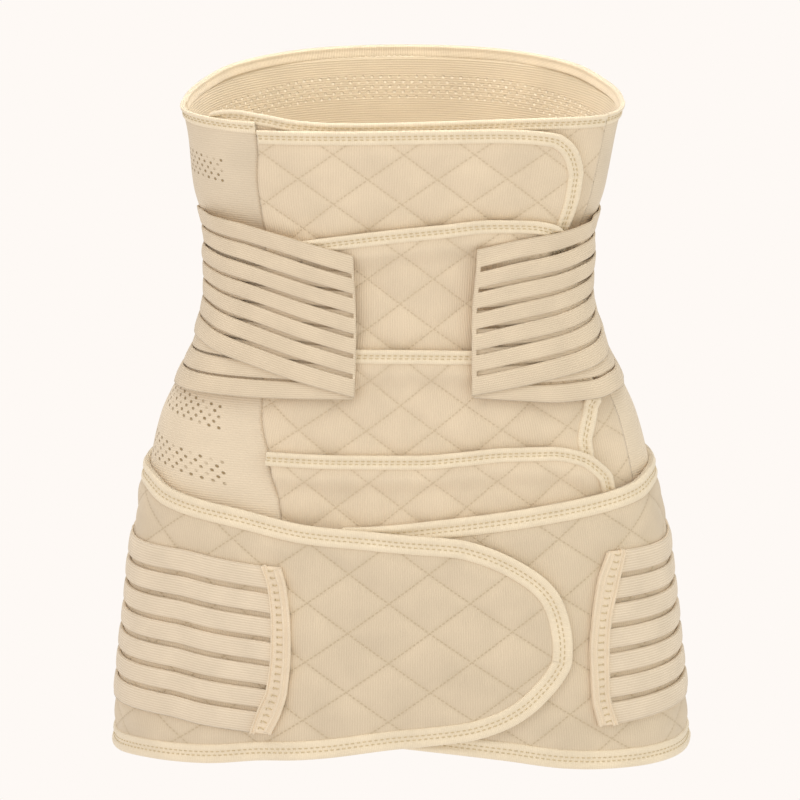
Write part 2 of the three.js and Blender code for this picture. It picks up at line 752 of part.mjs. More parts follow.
// The belt's edge from its inner end, under the overlap at the front, along the top round
// the back to the rounded outer end, and back along the hem.
const HIP_EDGE = [
  { turn: -13, height: -0.462 },
  { turn: -7, height: -0.46 },
  { turn: 9, height: -0.446 },
  { turn: 23, height: -0.432 },
  { turn: 35, height: -0.419 },
  { turn: 45, height: -0.409 },
  { turn: 58.5, height: -0.395 },
  { turn: 70, height: -0.38 },
  { turn: 90, height: -0.376 },
  { turn: 180, height: -0.372 },
  { turn: 270, height: -0.376 },
  { turn: 290, height: -0.382 },
  { turn: 303, height: -0.406 },
  { turn: 313, height: -0.419 },
  { turn: 323.5, height: -0.431 },
  { turn: 333, height: -0.447 },
  { turn: 342, height: -0.458 },
  { turn: 351, height: -0.465 },
  { turn: 361, height: -0.474 },
  { turn: 372, height: -0.483 },
  { turn: 379, height: -0.503 },
  { turn: 385.6, height: -0.537 },
  { turn: 390.6, height: -0.577 },
  { turn: 393.2, height: -0.616 },
  { turn: 394.6, height: -0.665 },
  { turn: 395, height: -0.708 },
  { turn: 394.6, height: -0.75 },
  { turn: 393, height: -0.78 },
  { turn: 390.2, height: -0.813 },
  { turn: 385.4, height: -0.856 },
  { turn: 380, height: -0.886 },
  { turn: 373.4, height: -0.906 },
  { turn: 366, height: -0.915 },
  { turn: 358, height: -0.923 },
  { turn: 344, height: -0.944 },
  { turn: 332.5, height: -0.956 },
  { turn: 320, height: -0.974 },
  { turn: 302.5, height: -0.985 },
  { turn: 285, height: -0.996 },
  { turn: 270, height: -0.998 },
  { turn: 180, height: -0.998 },
  { turn: 75, height: -0.997 },
  { turn: 54, height: -0.994 },
  { turn: 40, height: -0.987 },
  { turn: 32, height: -0.978 },
  { turn: 20, height: -0.954 },
  { turn: 10, height: -0.938 },
  { turn: -2, height: -0.923 },
  { turn: -13, height: -0.914 },
];
const hipEdge = followForm(line(HIP_EDGE));
const hipRing = inset(hipEdge, hipBinding + butt);
addPiece(hip, 'hip_belt', clothSolid(hipRing, hipLevel, (turn) => hipLevel(turn) + hipQuilt), hipQuiltFinish);
addPiece(
  hip,
  'hip_belt_binding',
  bindingSolid(hipEdge, hipBinding, hipLevel, (turn) => hipLevel(turn) + hipQuilt + bindingProud),
  bindingFinish,
);

// The end tabs' edges: turn of the free edge and of the edge sewn to the strips.
const END_TABS = {
  left: [
    { height: -0.545, free: -25.4, sewn: -29.8 },
    { height: -0.588, free: -24.0, sewn: -28.1 },
    { height: -0.665, free: -22.9, sewn: -27.0 },
    { height: -0.73, free: -22.6, sewn: -26.8 },
    { height: -0.8, free: -22.9, sewn: -27.3 },
    { height: -0.85, free: -24.0, sewn: -29.0 },
    { height: -0.897, free: -25.9, sewn: -30.3 },
  ],
  right: [
    { height: -0.528, free: 45.2, sewn: 50.4 },
    { height: -0.588, free: 41.9, sewn: 47.5 },
    { height: -0.675, free: 39.8, sewn: 44.4 },
    { height: -0.74, free: 38.9, sewn: 43.4 },
    { height: -0.83, free: 38.8, sewn: 42.9 },
    { height: -0.893, free: 39.9, sewn: 44.4 },
  ],
};
const HIP_STRAPS = {
  left: {
    top: [
      { turn: -beltSide - 8, height: -0.528 },
      { turn: -70, height: -0.53 },
      { turn: -50, height: -0.527 },
      { turn: -39, height: -0.537 },
      { turn: -30.2, height: -0.545 },
    ],
    bottom: [
      { turn: -beltSide - 8, height: -0.888 },
      { turn: -71, height: -0.886 },
      { turn: -50, height: -0.882 },
      { turn: -41, height: -0.89 },
      { turn: -30.8, height: -0.896 },
    ],
    front: -1,
  },
  right: {
    top: [
      { turn: 50.8, height: -0.529 },
      { turn: 72, height: -0.532 },
      { turn: beltSide + 8, height: -0.528 },
    ],
    bottom: [
      { turn: 44.8, height: -0.892 },
      { turn: 70, height: -0.885 },
      { turn: beltSide + 8, height: -0.888 },
    ],
    front: 1,
  },
};

// The strips end on the bowed edge of the hook tab, so each strap's free end follows it.
function hipStrap(side, sign) {
  const strap = HIP_STRAPS[side];
  const sewn = END_TABS[side].map((row) => [row.sewn, heightOf(row.height)]);
  const free = END_TABS[side].map((row) => [row.free, heightOf(row.height)]);
  const turnBack = (turn) => (sign < 0 ? turn + 360 : turn);
  const level = (turn) => hipStrapLevel(turnBack(turn));
  const beside = sewn.map(([turn, height]) => [turn + sign * 2.5 * seamGap, height]);
  const backEnd = sign * (beltSide + 8);
  const shape = {
    top: line(strap.top),
    bottom: line(strap.bottom),
    ends: sign < 0 ? [backEnd, beside] : [beside, backEnd],
    fused: sign < 0 ? [fusedBack, fusedFront] : [fusedFront, fusedBack],
  };
  addPiece(hip, `hip_strap_${side}`, strapSolid(shape, level, hipElastic), elasticFinish);
  const tabRing = [...free, ...sewn.reverse()];
  addPiece(hip, `hip_strap_end_${side}`, clothSolid(tabRing, level, (turn) => level(turn) + endTab), hookFinish);
}
hipStrap('left', -1);
hipStrap('right', 1);

export default binder;
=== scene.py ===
# %% [markdown]
# # An abdominal binder, closed as it is worn
# The binder is made of three layers of cloth that close one over the other: a tall torso
# wrap of elastic knit with four quilted tabs, a waist belt of slitted elastic straps, and
# a wide quilted hip belt. Everything here is cloth, so each piece is a thin closed shell
# laid on one smooth body form, each layer a little further out than the one under it.
# Lengths are in millimetres until a mesh is made, because sewn goods are measured so.

# %% Load the frame and keep its box
import math

import bpy
import numpy as np
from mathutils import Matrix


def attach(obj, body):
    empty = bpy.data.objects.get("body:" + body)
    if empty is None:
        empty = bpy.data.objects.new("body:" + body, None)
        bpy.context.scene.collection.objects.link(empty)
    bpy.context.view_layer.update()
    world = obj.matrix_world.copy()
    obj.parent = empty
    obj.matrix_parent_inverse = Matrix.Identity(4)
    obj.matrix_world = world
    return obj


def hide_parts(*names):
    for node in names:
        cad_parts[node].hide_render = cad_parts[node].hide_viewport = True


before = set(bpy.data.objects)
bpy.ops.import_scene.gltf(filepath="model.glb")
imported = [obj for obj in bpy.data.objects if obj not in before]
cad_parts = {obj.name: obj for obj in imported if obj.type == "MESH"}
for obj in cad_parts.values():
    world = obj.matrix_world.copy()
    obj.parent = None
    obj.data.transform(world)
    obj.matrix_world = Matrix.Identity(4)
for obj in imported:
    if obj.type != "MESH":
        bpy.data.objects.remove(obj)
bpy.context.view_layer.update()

MM = 0.001

# %% [markdown]
# ## The body form
# A sewn wrap takes the shape of the waist inside it. A few level sections give that
# shape: each has a half width, a half depth, the place of its widest line and how square
# its front is. A front squarer than an ellipse gives the flat belly and the turned
# corners of the ribs, and the back stays round. A curve that never overshoots its rows
# joins the sections, so thirteen rows are enough for a smooth form.

# %% Sizes and sections of the form
RIM_HEIGHT, HIP_DROP = 128.0, 302.0
RIM_HALF_WIDTH, WAIST_HALF_WIDTH, HIP_HALF_WIDTH = 137.8, 116.3, 180.2
RIM_HALF_DEPTH, WAIST_HALF_DEPTH, HIP_HALF_DEPTH = 101.0, 90.0, 114.0
BACK_ROUNDNESS = 2.1
CORNER_SOFTNESS = 0.1  # keeps the powers finite where a section faces straight ahead
# height, wide, deep, widest, square, lean
SECTIONS = [
    (1.00, 1.000, 1.00, 0.250, 3.00, 0.024),
    (0.80, 0.730, 0.87, 0.265, 2.95, 0.022),
    (0.52, 0.512, 0.52, 0.300, 2.80, 0.010),
    (0.25, 0.093, 0.15, 0.330, 2.65, 0.006),
    (0.00, 0.000, 0.00, 0.340, 2.60, 0.001),
    (-0.10, 0.116, 0.03, 0.345, 2.60, 0.002),
    (-0.19, 0.321, 0.10, 0.350, 2.60, 0.004),
    (-0.28, 0.510, 0.19, 0.360, 2.55, 0.001),
    (-0.40, 0.645, 0.35, 0.370, 2.50, 0.006),
    (-0.55, 0.761, 0.57, 0.385, 2.50, 0.011),
    (-0.72, 0.853, 0.81, 0.400, 2.45, 0.012),
    (-0.87, 0.940, 0.95, 0.410, 2.40, 0.012),
    (-1.00, 1.000, 1.00, 0.420, 2.40, 0.017),
]


def height_of(share):
    """A height from its share: of the rim height over the waist, of the hip drop under it."""
    share = np.asarray(share, float)
    return share * np.where(share >= 0, RIM_HEIGHT, HIP_DROP)


def smooth(x, xs, ys):
    """A curve through given rows that never swings past them."""
    xs, ys = np.asarray(xs, float), np.asarray(ys, float)
    steps = np.diff(xs)
    rise = np.diff(ys) / steps
    slope = np.concatenate([rise[:1], np.zeros(len(xs) - 2), rise[-1:]])
    same = rise[:-1] * rise[1:] > 0
    slope[1:-1][same] = 2 / (1 / rise[:-1][same] + 1 / rise[1:][same])
    i = np.clip(np.searchsorted(xs, x) - 1, 0, len(xs) - 2)
    s = np.clip((x - xs[i]) / steps[i], 0, 1)
    a, b = (1 + 2 * s) * (1 - s) ** 2, s * s * (3 - 2 * s)
    c, d = s * (1 - s) ** 2, s * s * (s - 1)
    return a * ys[i] + b * ys[i + 1] + steps[i] * (c * slope[i] + d * slope[i + 1])


ROWS = np.array(SECTIONS[::-1])
ROW_HEIGHTS = height_of(ROWS[:, 0])
over_waist = ROWS[:, 0] >= 0
far_width = np.where(over_waist, RIM_HALF_WIDTH, HIP_HALF_WIDTH)
far_depth = np.where(over_waist, RIM_HALF_DEPTH, HIP_HALF_DEPTH)
HALF_WIDTHS = WAIST_HALF_WIDTH + ROWS[:, 1] * (far_width - WAIST_HALF_WIDTH)
HALF_DEPTHS = WAIST_HALF_DEPTH + ROWS[:, 2] * (far_depth - WAIST_HALF_DEPTH)


def form(turn, height, away=0.0):
    """The point of the form at a turn in degrees and a height, moved away from the body."""
    turn, height = np.broadcast_arrays(np.asarray(turn, float), np.asarray(height, float))
    angle = np.radians(turn)
    side, ahead = np.sin(angle), np.cos(angle)
    wide = smooth(height, ROW_HEIGHTS, HALF_WIDTHS)
    deep = smooth(height, ROW_HEIGHTS, HALF_DEPTHS)
    middle = deep * (2 * smooth(height, ROW_HEIGHTS, ROWS[:, 3]) - 1)
    square = smooth(height, ROW_HEIGHTS, ROWS[:, 4])
    lean = smooth(height, ROW_HEIGHTS, ROWS[:, 5]) * WAIST_HALF_WIDTH
    reach = np.where(ahead >= 0, deep + middle, deep - middle)
    power = np.where(ahead >= 0, square, BACK_ROUNDNESS)
    soft_side = np.hypot(side, CORNER_SOFTNESS)
    soft_ahead = np.hypot(ahead, CORNER_SOFTNESS)
    grow = (soft_side**power + soft_ahead**power) ** (-1 / power)
    out_x = side * soft_side ** (power - 2) * grow ** (power - 1) / wide
    out_y = -ahead * soft_ahead ** (power - 2) * grow ** (power - 1) / reach
    length = np.hypot(out_x, out_y)
    x = wide * side * grow + lean + away * out_x / length
    y = middle - reach * ahead * grow + away * out_y / length
    return np.stack(np.broadcast_arrays(x, y, height), -1)


def run_along(points):
    """The distance from the first point to each of a row of points, along the row."""
    return np.concatenate([[0], np.cumsum(np.linalg.norm(np.diff(points, axis=0), axis=1))])


around = np.arange(0.0, 360.5, 0.5)
girths = [round(run_along(form(around, h))[-1]) for h in (RIM_HEIGHT, 0.0, -HIP_DROP)]
print("girth at rim, waist and hem, mm:", girths)

# %% [markdown]
# ## How the layers stack
# Cloth on cloth needs room. Each layer has its own distance from the body, worked out
# from the thickness of what lies under it, and comes down to the body where nothing lies
# under it any more. That is what keeps a dressed stack from cutting through itself.

# %% Thicknesses and levels
KNIT, LINING, QUILT, ELASTIC, HIP_QUILT, HIP_ELASTIC = 1.4, 2.0, 2.4, 1.5, 3.0, 2.0
PROUD, CLEAR = 0.7, 0.7  # how far a tape stands proud, and the air between two layers
TONGUE_END = -60.0  # turn at which the front panel ends inside the left side
TAB_OVERLAP = 12.0
RIM_BINDING, TAB_BINDING, HIP_BINDING = 8.0, 9.0, 12.0
# between these turns a layer climbs from one level to the next
BACK_CLIMB, BELT_CLIMB, HIP_END_CLIMB = (-110, TONGUE_END - 6), (85, 50), (329, 340)


def ease(start, end, value):
    """0 before the start, 1 past the end, with a soft rise between them."""
    share = np.clip((value - start) / (end - start), 0, 1)
    return share * share * (3 - 2 * share)


def wrap_turn(turn):
    """The same turn between -180 and 180 degrees."""
    return (np.asarray(turn, float) + 180) % 360 - 180


def back_level(turn):
    """The back panel steps out over the front panel's end at the left side."""
    left = wrap_turn(turn) < 0
    return (LINING + PROUD + CLEAR) * ease(*BACK_CLIMB, wrap_turn(turn)) * left


TAB_LEVEL = LINING + PROUD + CLEAR
OVER_TAB = TAB_LEVEL + QUILT + PROUD + CLEAR
WAIST_FRONT = OVER_TAB + QUILT + PROUD + CLEAR
HIP_FRONT = TAB_LEVEL + QUILT + PROUD + CLEAR


def belt_level(turn, front):
    """A belt lies on the knit at the back and sides and rises over the tabs in front."""
    side = back_level(turn) + KNIT + CLEAR
    return side + (front - side) * ease(*BELT_CLIMB, np.abs(wrap_turn(turn)))


def waist_level(turn):
    return belt_level(turn, WAIST_FRONT)


def strap_level(turn):
    return waist_level(turn) + ELASTIC + CLEAR


def hip_level(turn):
    """The hip belt goes once round from its inner end and climbs over it at the front."""
    return belt_level(turn, HIP_FRONT) + (HIP_QUILT + PROUD + CLEAR) * ease(*HIP_END_CLIMB, turn)


fronts = {"tabs": TAB_LEVEL, "waist belt": WAIST_FRONT, "hip belt": HIP_FRONT}
print("levels at the front, mm:", {layer: round(level, 1) for layer, level in fronts.items()})

# %% [markdown]
# ## Edge lines
# A pattern maker draws a panel by its edges. Each edge here is a short table of turn and
# height, chosen against the photograph, and a smooth line is run through it with points a
# set distance apart, so that stitches along it come out evenly spaced.


# %% Lines from tables
def edge_line(table, step):
    """A smooth line through a table of turn and height, with points step mm apart."""
    turns, heights = np.array([r[0] for r in table], float), height_of([r[1] for r in table])
    run = run_along(form(turns, heights))
    s = np.linspace(0, run[-1], int(run[-1] / step) + 2)
    return smooth(s, run, turns), smooth(s, run, heights)


def height_at(table, turn):
    """The height of an edge at a turn, for an edge that never turns back."""
    return smooth(turn, [r[0] for r in table], height_of([r[1] for r in table]))


def turn_at(table, height):
    """The turn of an upright seam at a height."""
    up = table[::-1]
    return smooth(height, height_of([r[1] for r in up]), [r[0] for r in up])


LEFT_SEAM = [
    (-37.5, 1.0), (-38.5, 0.6), (-39.0, 0.3), (-38.0, 0.0),
    (-35.0, -0.2), (-30.0, -0.33), (-26.5, -0.45), (-25.0, -0.62),
]
RIGHT_SEAM = [(58.5, 1.0), (58.5, 0.3), (61.5, -0.2), (62.0, -0.62)]
SEAM_GAP = 0.05  # degrees between a seam and the cloth that ends at it
MID_STACK = 4.0  # mm from the body at which lengths along the cloth are taken


def along_cloth(turn, height):
    """Millimetres along the cloth from the middle of the front, at one height."""
    turns = np.arange(-130.0, 421.0, 1.0)
    run = run_along(form(turns, height, MID_STACK))
    return np.interp(turn, turns, run - np.interp(0.0, turns, run))


def inside(outline, turn, height):
    """Which points lie inside a closed outline of turns and heights."""
    ring_turn, ring_height = outline
    found = np.zeros(turn.shape, bool)
    for i in range(len(ring_turn)):
        t0, h0, t1, h1 = ring_turn[i - 1], ring_height[i - 1], ring_turn[i], ring_height[i]
        if h0 != h1:
            crossing = t0 + (height - h0) / (h1 - h0) * (t1 - t0)
            found ^= ((h0 > height) != (h1 > height)) & (turn < crossing)
    return found


def gap_to(line, turn, height, middle):
    """Millimetres from each point to an edge line, along the cloth."""
    line_u, line_v = along_cloth(line[0], middle), line[1]
    u, v = along_cloth(turn, middle), height
    nearest = np.full(turn.shape, 1e6)
    for a, b in zip(line_u, line_v):
        np.minimum(nearest, (u - a) ** 2 + (v - b) ** 2, out=nearest)
    return np.sqrt(nearest)


# %% [markdown]
# ## From a net of points to cloth
# Every flat piece is made the same way: a net of turns and heights, an outer and an inner
# distance, and a rule for which cells are cloth. The cells that aren't cloth are the slits
# and what lies past the edge. Faces go on both sides and walls close every free edge, so
# the piece has a real thickness. The flat place of each point, in millimetres, is kept as
# its UV, so that ribs and stitches in the finishes follow the cloth and not the room.


# %% Make a mesh from arrays
def mesh_object(name, points, faces, uv, material):
    """A smooth mesh from points in mm, with the points that no face uses left out."""
    used, packed = np.unique(np.concatenate([f.ravel() for f in faces]), return_inverse=True)
    points, uv = points[used], uv[used]
    mesh = bpy.data.meshes.new(name)
    sizes = np.concatenate([np.full(len(f), f.shape[1], np.int32) for f in faces])
    starts = np.concatenate([[0], np.cumsum(sizes)[:-1]]).astype(np.int32)
    mesh.vertices.add(len(points))
    mesh.loops.add(len(packed))
    mesh.polygons.add(len(sizes))
    mesh.vertices.foreach_set("co", (points * MM).astype(np.float32).ravel())
    mesh.loops.foreach_set("vertex_index", packed.astype(np.int32).ravel())
    mesh.polygons.foreach_set("loop_start", starts)
    mesh.polygons.foreach_set("loop_total", sizes)
    mesh.polygons.foreach_set("use_smooth", np.ones(len(sizes), bool))
    flat = mesh.uv_layers.new(name="cloth_mm")
    flat.data.foreach_set("uv", uv[packed.ravel()].astype(np.float32).ravel())
    mesh.update()
    mesh.validate()
    mesh.materials.append(material)
    piece = bpy.data.objects.new(name, mesh)
    bpy.context.collection.objects.link(piece)
    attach(piece, "root")
    print(f"{name}: {sum(p.area for p in mesh.polygons) / 2:.4f} square metres of cloth")
    return piece


def cloth(name, turn, height, inner, outer, uv, keep, material):
    """A closed shell of cloth over the kept cells of a net."""
    count = turn.size
    points = np.concatenate([form(turn, height, face).reshape(-1, 3) for face in (outer, inner)])
    ids = np.arange(count).reshape(turn.shape)
    cells = np.stack([ids[1:, :-1], ids[1:, 1:], ids[:-1, 1:], ids[:-1, :-1]], -1)[keep]
    sides = np.concatenate([cells[:, [k, (k + 1) % 4]] for k in range(4)])
    key, back = sides[:, 0] * count + sides[:, 1], sides[:, 1] * count + sides[:, 0]
    free = sides[~np.isin(back, key)]
    walls = np.stack([free[:, 1], free[:, 0], free[:, 0] + count, free[:, 1] + count], -1)
    flat = np.stack(np.broadcast_arrays(*uv), -1).reshape(-1, 2)
    faces = [np.concatenate([cells, cells[:, ::-1] + count, walls])]
    piece = mesh_object(name, points, faces, np.concatenate([flat, flat]), material)
    print(f"{name}: {len(cells)} cells of cloth, {2 * len(faces[0])} triangles")
    return piece


# %% [markdown]
# ## The finishes
# A few finishes make the whole binder: a quilted rib knit, an eyelet knit, an edge tape,
# a ribbed elastic, a brushed hook tab and a thread. All are polyester, cotton or nylon with
# no gloss, so roughness is high, and a little sheen gives the pale edge that loose fibres
# give any knit. Colour is close to one cream, so what tells them apart is their relief.


# %% Colours and one helper for nodes
def linear(hex_colour):
    """An sRGB hex colour as the linear values that Blender works in."""
    parts = np.array([int(hex_colour[i : i + 2], 16) / 255 for i in (1, 3, 5)])
    lit = np.where(parts <= 0.04045, parts / 12.92, ((parts + 0.055) / 1.055) ** 2.4)
    return (*lit.tolist(), 1.0)


MATH, NOISE = "ShaderNodeMath", "ShaderNodeTexNoise"
MIX = "ShaderNodeMix"  # for colours: socket 0 is the share, 6 and 7 the two colours
RAMP = "ShaderNodeMapRange"  # from the range in sockets 1 and 2 to that in 3 and 4


def add(tree, kind, feeds=None, out=0, **settings):
    """Adds a node with its settings, feeds its sockets, and gives back one of its outputs."""
    node = tree.nodes.new(kind)
    for name, value in settings.items():
        setattr(node, name, value)
    for socket, value in (feeds or {}).items():
        if isinstance(value, bpy.types.NodeSocket):
            tree.links.new(value, node.inputs[socket])
        else:
            node.inputs[socket].default_value = value
    return node.outputs[out]


# %% [markdown]
# ### What all cloth has in common
# Every finish starts from the same dull shader, with half the usual reflection because
# loose fibres scatter it, and reads the flat place of each point in millimetres. Ribs and
# threads are sine waves across that place. Loops show as fine noise and uneven dye as slow
# clouds of tone, and both keep a large plain area from looking like paint. At the end the
# tone and one bump, summed from all the relief, go to the shader.


# %% Steps that every finish shares
def start_cloth(name, roughness, sheen):
    """A material with the dull shader of cloth and the flat place of each point in mm."""
    material = bpy.data.materials.new(name)
    material.use_nodes = True
    tree = material.node_tree
    shader = tree.nodes["Principled BSDF"]
    shader.inputs["Roughness"].default_value = roughness
    shader.inputs["IOR"].default_value = 1.5  # textile fibres are all close to this
    shader.inputs["Specular IOR Level"].default_value = 0.25
    shader.inputs["Sheen Weight"].default_value = sheen
    shader.inputs["Sheen Roughness"].default_value = 0.5
    flat = add(tree, "ShaderNodeUVMap", uv_map="cloth_mm")
    u = add(tree, "ShaderNodeSeparateXYZ", {0: flat})
    return material, tree, shader, flat, u, u.node.outputs[1]


def ridges(tree, place, pitch):
    """A wave from -1 to 1 along a place, with one ridge each pitch millimetres."""
    angle = add(tree, MATH, {0: place, 1: 2 * math.pi / pitch}, operation="MULTIPLY")
    return add(tree, MATH, {0: angle}, operation="SINE")


def uneven(tree, flat, loop_scale, cloud_scale, darkest):
    """The height of the loops, and how bright slow clouds and small flecks make the tone."""
    fine = {"Vector": flat, "Scale": loop_scale, "Detail": 3.0, "Roughness": 0.6}
    loops = add(tree, NOISE, fine)
    cloud = add(tree, NOISE, {"Vector": flat, "Scale": cloud_scale, "Detail": 2.0})
    patch = add(tree, RAMP, {"Value": cloud, 1: 0.3, 2: 0.7, 3: darkest, 4: 1.04})
    fleck = add(tree, RAMP, {"Value": loops, 1: 0.2, 2: 0.8, 3: darkest - 0.01, 4: 1.05})
    return loops, add(tree, MATH, {0: patch, 1: fleck}, operation="MULTIPLY")


def end_cloth(tree, shader, tone, heights, depth=0.7):
    """Gives the shader its tone and one bump of depth mm, summed from heights and strengths."""
    relief = 0.0
    for height, strength in heights:
        relief = add(tree, MATH, {0: height, 1: strength, 2: relief}, operation="MULTIPLY_ADD")
    bump = {"Strength": 0.8, "Distance": depth * MM, "Height": relief}
    tree.links.new(add(tree, "ShaderNodeBump", bump), shader.inputs["Normal"])
    tree.links.new(tone, shader.inputs["Base Color"])


# %% [markdown]
# ### Quilted rib knit
# The tabs and the hip belt are a rib knit laminated to thin foam and quilted in diamonds.
# Ribs are 1.5 mm apart and run upright. A stitch is 2.9 mm long and sinks into the
# foam, so along each quilting line the cloth dips and shows a row of short threads, and
# the colour there is darkened a little as painted shade. The dip itself is in the mesh;
# here the same two families of slanting lines are worked out from the flat place, so
# stitches, dips and painted shade fall together.


# %% Quilted knit finish
QUILT_RIB, QUILT_STITCH = 1.5, 2.9  # mm
TAB_DIAMOND, HIP_DIAMOND = (41.0, 33.0), (51.0, 38.0)  # width and height of a diamond


def quilted_knit(name, light, shade, wide, high):
    """Upright ribs, painted shade in a soft dip on each quilting line and stitches along it."""
    material, tree, shader, flat, u, v = start_cloth(name, 0.86, 0.18)
    across = add(tree, MATH, {0: u, 1: 1 / wide}, operation="MULTIPLY")
    up = add(tree, MATH, {0: v, 1: 1 / high}, operation="MULTIPLY")
    spacing = wide * high / math.hypot(wide, high)
    pitch = QUILT_STITCH * 2 / math.hypot(wide, high)  # in shares of a diamond, as way is
    lines, dashes = [], []
    for kind, other in (("ADD", "SUBTRACT"), ("SUBTRACT", "ADD")):
        family = add(tree, MATH, {0: across, 1: up}, operation=kind)
        near = add(tree, MATH, {0: family, 1: 0.5}, operation="PINGPONG")
        distance = add(tree, MATH, {0: near, 1: spacing}, operation="MULTIPLY")
        lines.append(distance)
        way = add(tree, MATH, {0: across, 1: up}, operation=other)
        wave = ridges(tree, way, pitch)
        on_line = add(tree, RAMP, {"Value": distance, 1: 0.22, 2: 0.55, 3: 1.0, 4: 0.0})
        on_thread = add(tree, RAMP, {"Value": wave, 1: -0.5, 2: 0.1, 3: 0.0, 4: 1.0})
        dashes.append(add(tree, MATH, {0: on_line, 1: on_thread}, operation="MULTIPLY"))
    nearest = add(tree, MATH, {0: lines[0], 1: lines[1]}, operation="MINIMUM")
    stitched = add(tree, MATH, {0: dashes[0], 1: dashes[1]}, operation="MAXIMUM")
    groove = add(tree, RAMP, {"Value": nearest, 1: 0.2, 2: 2.8, 3: 1.0, 4: 0.0})
    ribs = ridges(tree, u, QUILT_RIB)
    loops, value = uneven(tree, flat, 1.3, 0.035, 0.94)
    ribs_low = add(tree, RAMP, {"Value": ribs, 1: -1.0, 2: 1.0, 3: 0.35, 4: 0.0})
    # painted shade: the colour darkens along each quilting line
    depth = add(tree, MATH, {0: groove, 1: 0.4}, operation="MULTIPLY")
    ribs_and_painted_groove_shade = add(tree, MATH, {0: depth, 1: ribs_low}, operation="MAXIMUM")
    tone = add(tree, MIX, {0: ribs_and_painted_groove_shade, 6: linear(light), 7: linear(shade)}, out=2, data_type="RGBA")
    tone = add(tree, "ShaderNodeHueSaturation", {"Value": value, "Color": tone})
    tone = add(tree, MIX, {0: stitched, 6: tone, 7: linear(shade)}, out=2, data_type="RGBA")
    end_cloth(tree, shader, tone, [(ribs, 0.12), (loops, 0.22), (stitched, 0.35), (groove, -0.22)])
    return material


tab_knit = quilted_knit("quilted_rib_knit_tabs", "#ecdabf", "#d8c4a5", *TAB_DIAMOND)
hip_knit = quilted_knit("quilted_rib_knit_hip", "#e4d3b9", "#cfbc9d", *HIP_DIAMOND)
print("finishes so far:", tab_knit.name, hip_knit.name)

# %% [markdown]
# ### Eyelet knit
# The back and side panel is a warp knit with elastic. Its ribs run level, 1.5 mm apart,
# and it has bands where the knit leaves small eyelets in staggered rows, to let air
# through. Real eyelets are under 2 mm across, too fine to model one by one, so they are
# sunk spots placed from the flat place, with painted shade in them on the outside, where
# one looks into the wrap, and painted light in them on the inside, where the lit studio
# shines through. Each band follows a line that drops towards the front, as the photograph
# shows at the left side. The knit's colour is darkened a little towards the top as painted
# shade.


# %% Eyelet knit finish
EYELET_PITCH, EYELET_ROW, EYELET, KNIT_RIB = 5.2, 3.3, 0.62, 1.5  # mm, EYELET a radius
# height at the back, height at the front end, where the drop starts, rows
EYELET_BANDS = [(101.0, 80.0, 60.0, 5), (-52.0, -80.0, 120.0, 5), (-80.0, -115.0, 105.0, 5)]
PLAIN_STRIP = 22.0  # mm beside the left seam that have no eyelets
EYELET_HALF = 0.7  # share of the half girth that has eyelets towards the right
BACK_MIDDLE = float(along_cloth(180.0, 0.0))
BACK_HALF = float(along_cloth(322.0, 0.0)) - BACK_MIDDLE


def eyelet_band(tree, u, v, from_back, band):
    """Where the eyelets of one band are, 1 in a hole and 0 beside it."""
    at_back, at_front, start, count = band
    fall = (at_front - at_back) / (BACK_HALF - start)
    past = add(tree, MATH, {0: from_back, 1: start}, operation="SUBTRACT")
    past = add(tree, MATH, {0: past, 1: 0.0}, operation="MAXIMUM")
    middle = add(tree, MATH, {0: past, 1: fall, 2: at_back}, operation="MULTIPLY_ADD")
    over_band = add(tree, MATH, {0: v, 1: middle}, operation="SUBTRACT")
    row = add(tree, MATH, {0: over_band, 1: 1 / EYELET_ROW}, operation="MULTIPLY")
    whole = add(tree, MATH, {0: row}, operation="ROUND")
    odd = add(tree, MATH, {0: whole, 1: 1.0}, operation="PINGPONG")
    column = add(tree, MATH, {0: u, 1: 1 / EYELET_PITCH}, operation="MULTIPLY")
    column = add(tree, MATH, {0: odd, 1: 0.5, 2: column}, operation="MULTIPLY_ADD")
    beside = add(tree, MATH, {0: column, 1: 0.5}, operation="PINGPONG")
    beside = add(tree, MATH, {0: beside, 1: EYELET_PITCH}, operation="MULTIPLY")
    above = add(tree, MATH, {0: row, 1: whole}, operation="SUBTRACT")
    above = add(tree, MATH, {0: above, 1: EYELET_ROW}, operation="MULTIPLY")
    offset = add(tree, "ShaderNodeCombineXYZ", {0: beside, 1: above})
    reach = add(tree, "ShaderNodeVectorMath", {0: offset}, out=1, operation="LENGTH")
    spot = add(tree, RAMP, {"Value": reach, 1: EYELET, 2: EYELET + 0.45, 3: 1.0, 4: 0.0})
    within = add(tree, MATH, {0: whole}, operation="ABSOLUTE")
    within = add(tree, MATH, {0: within, 1: count / 2}, operation="LESS_THAN")
    return add(tree, MATH, {0: spot, 1: within}, operation="MULTIPLY")


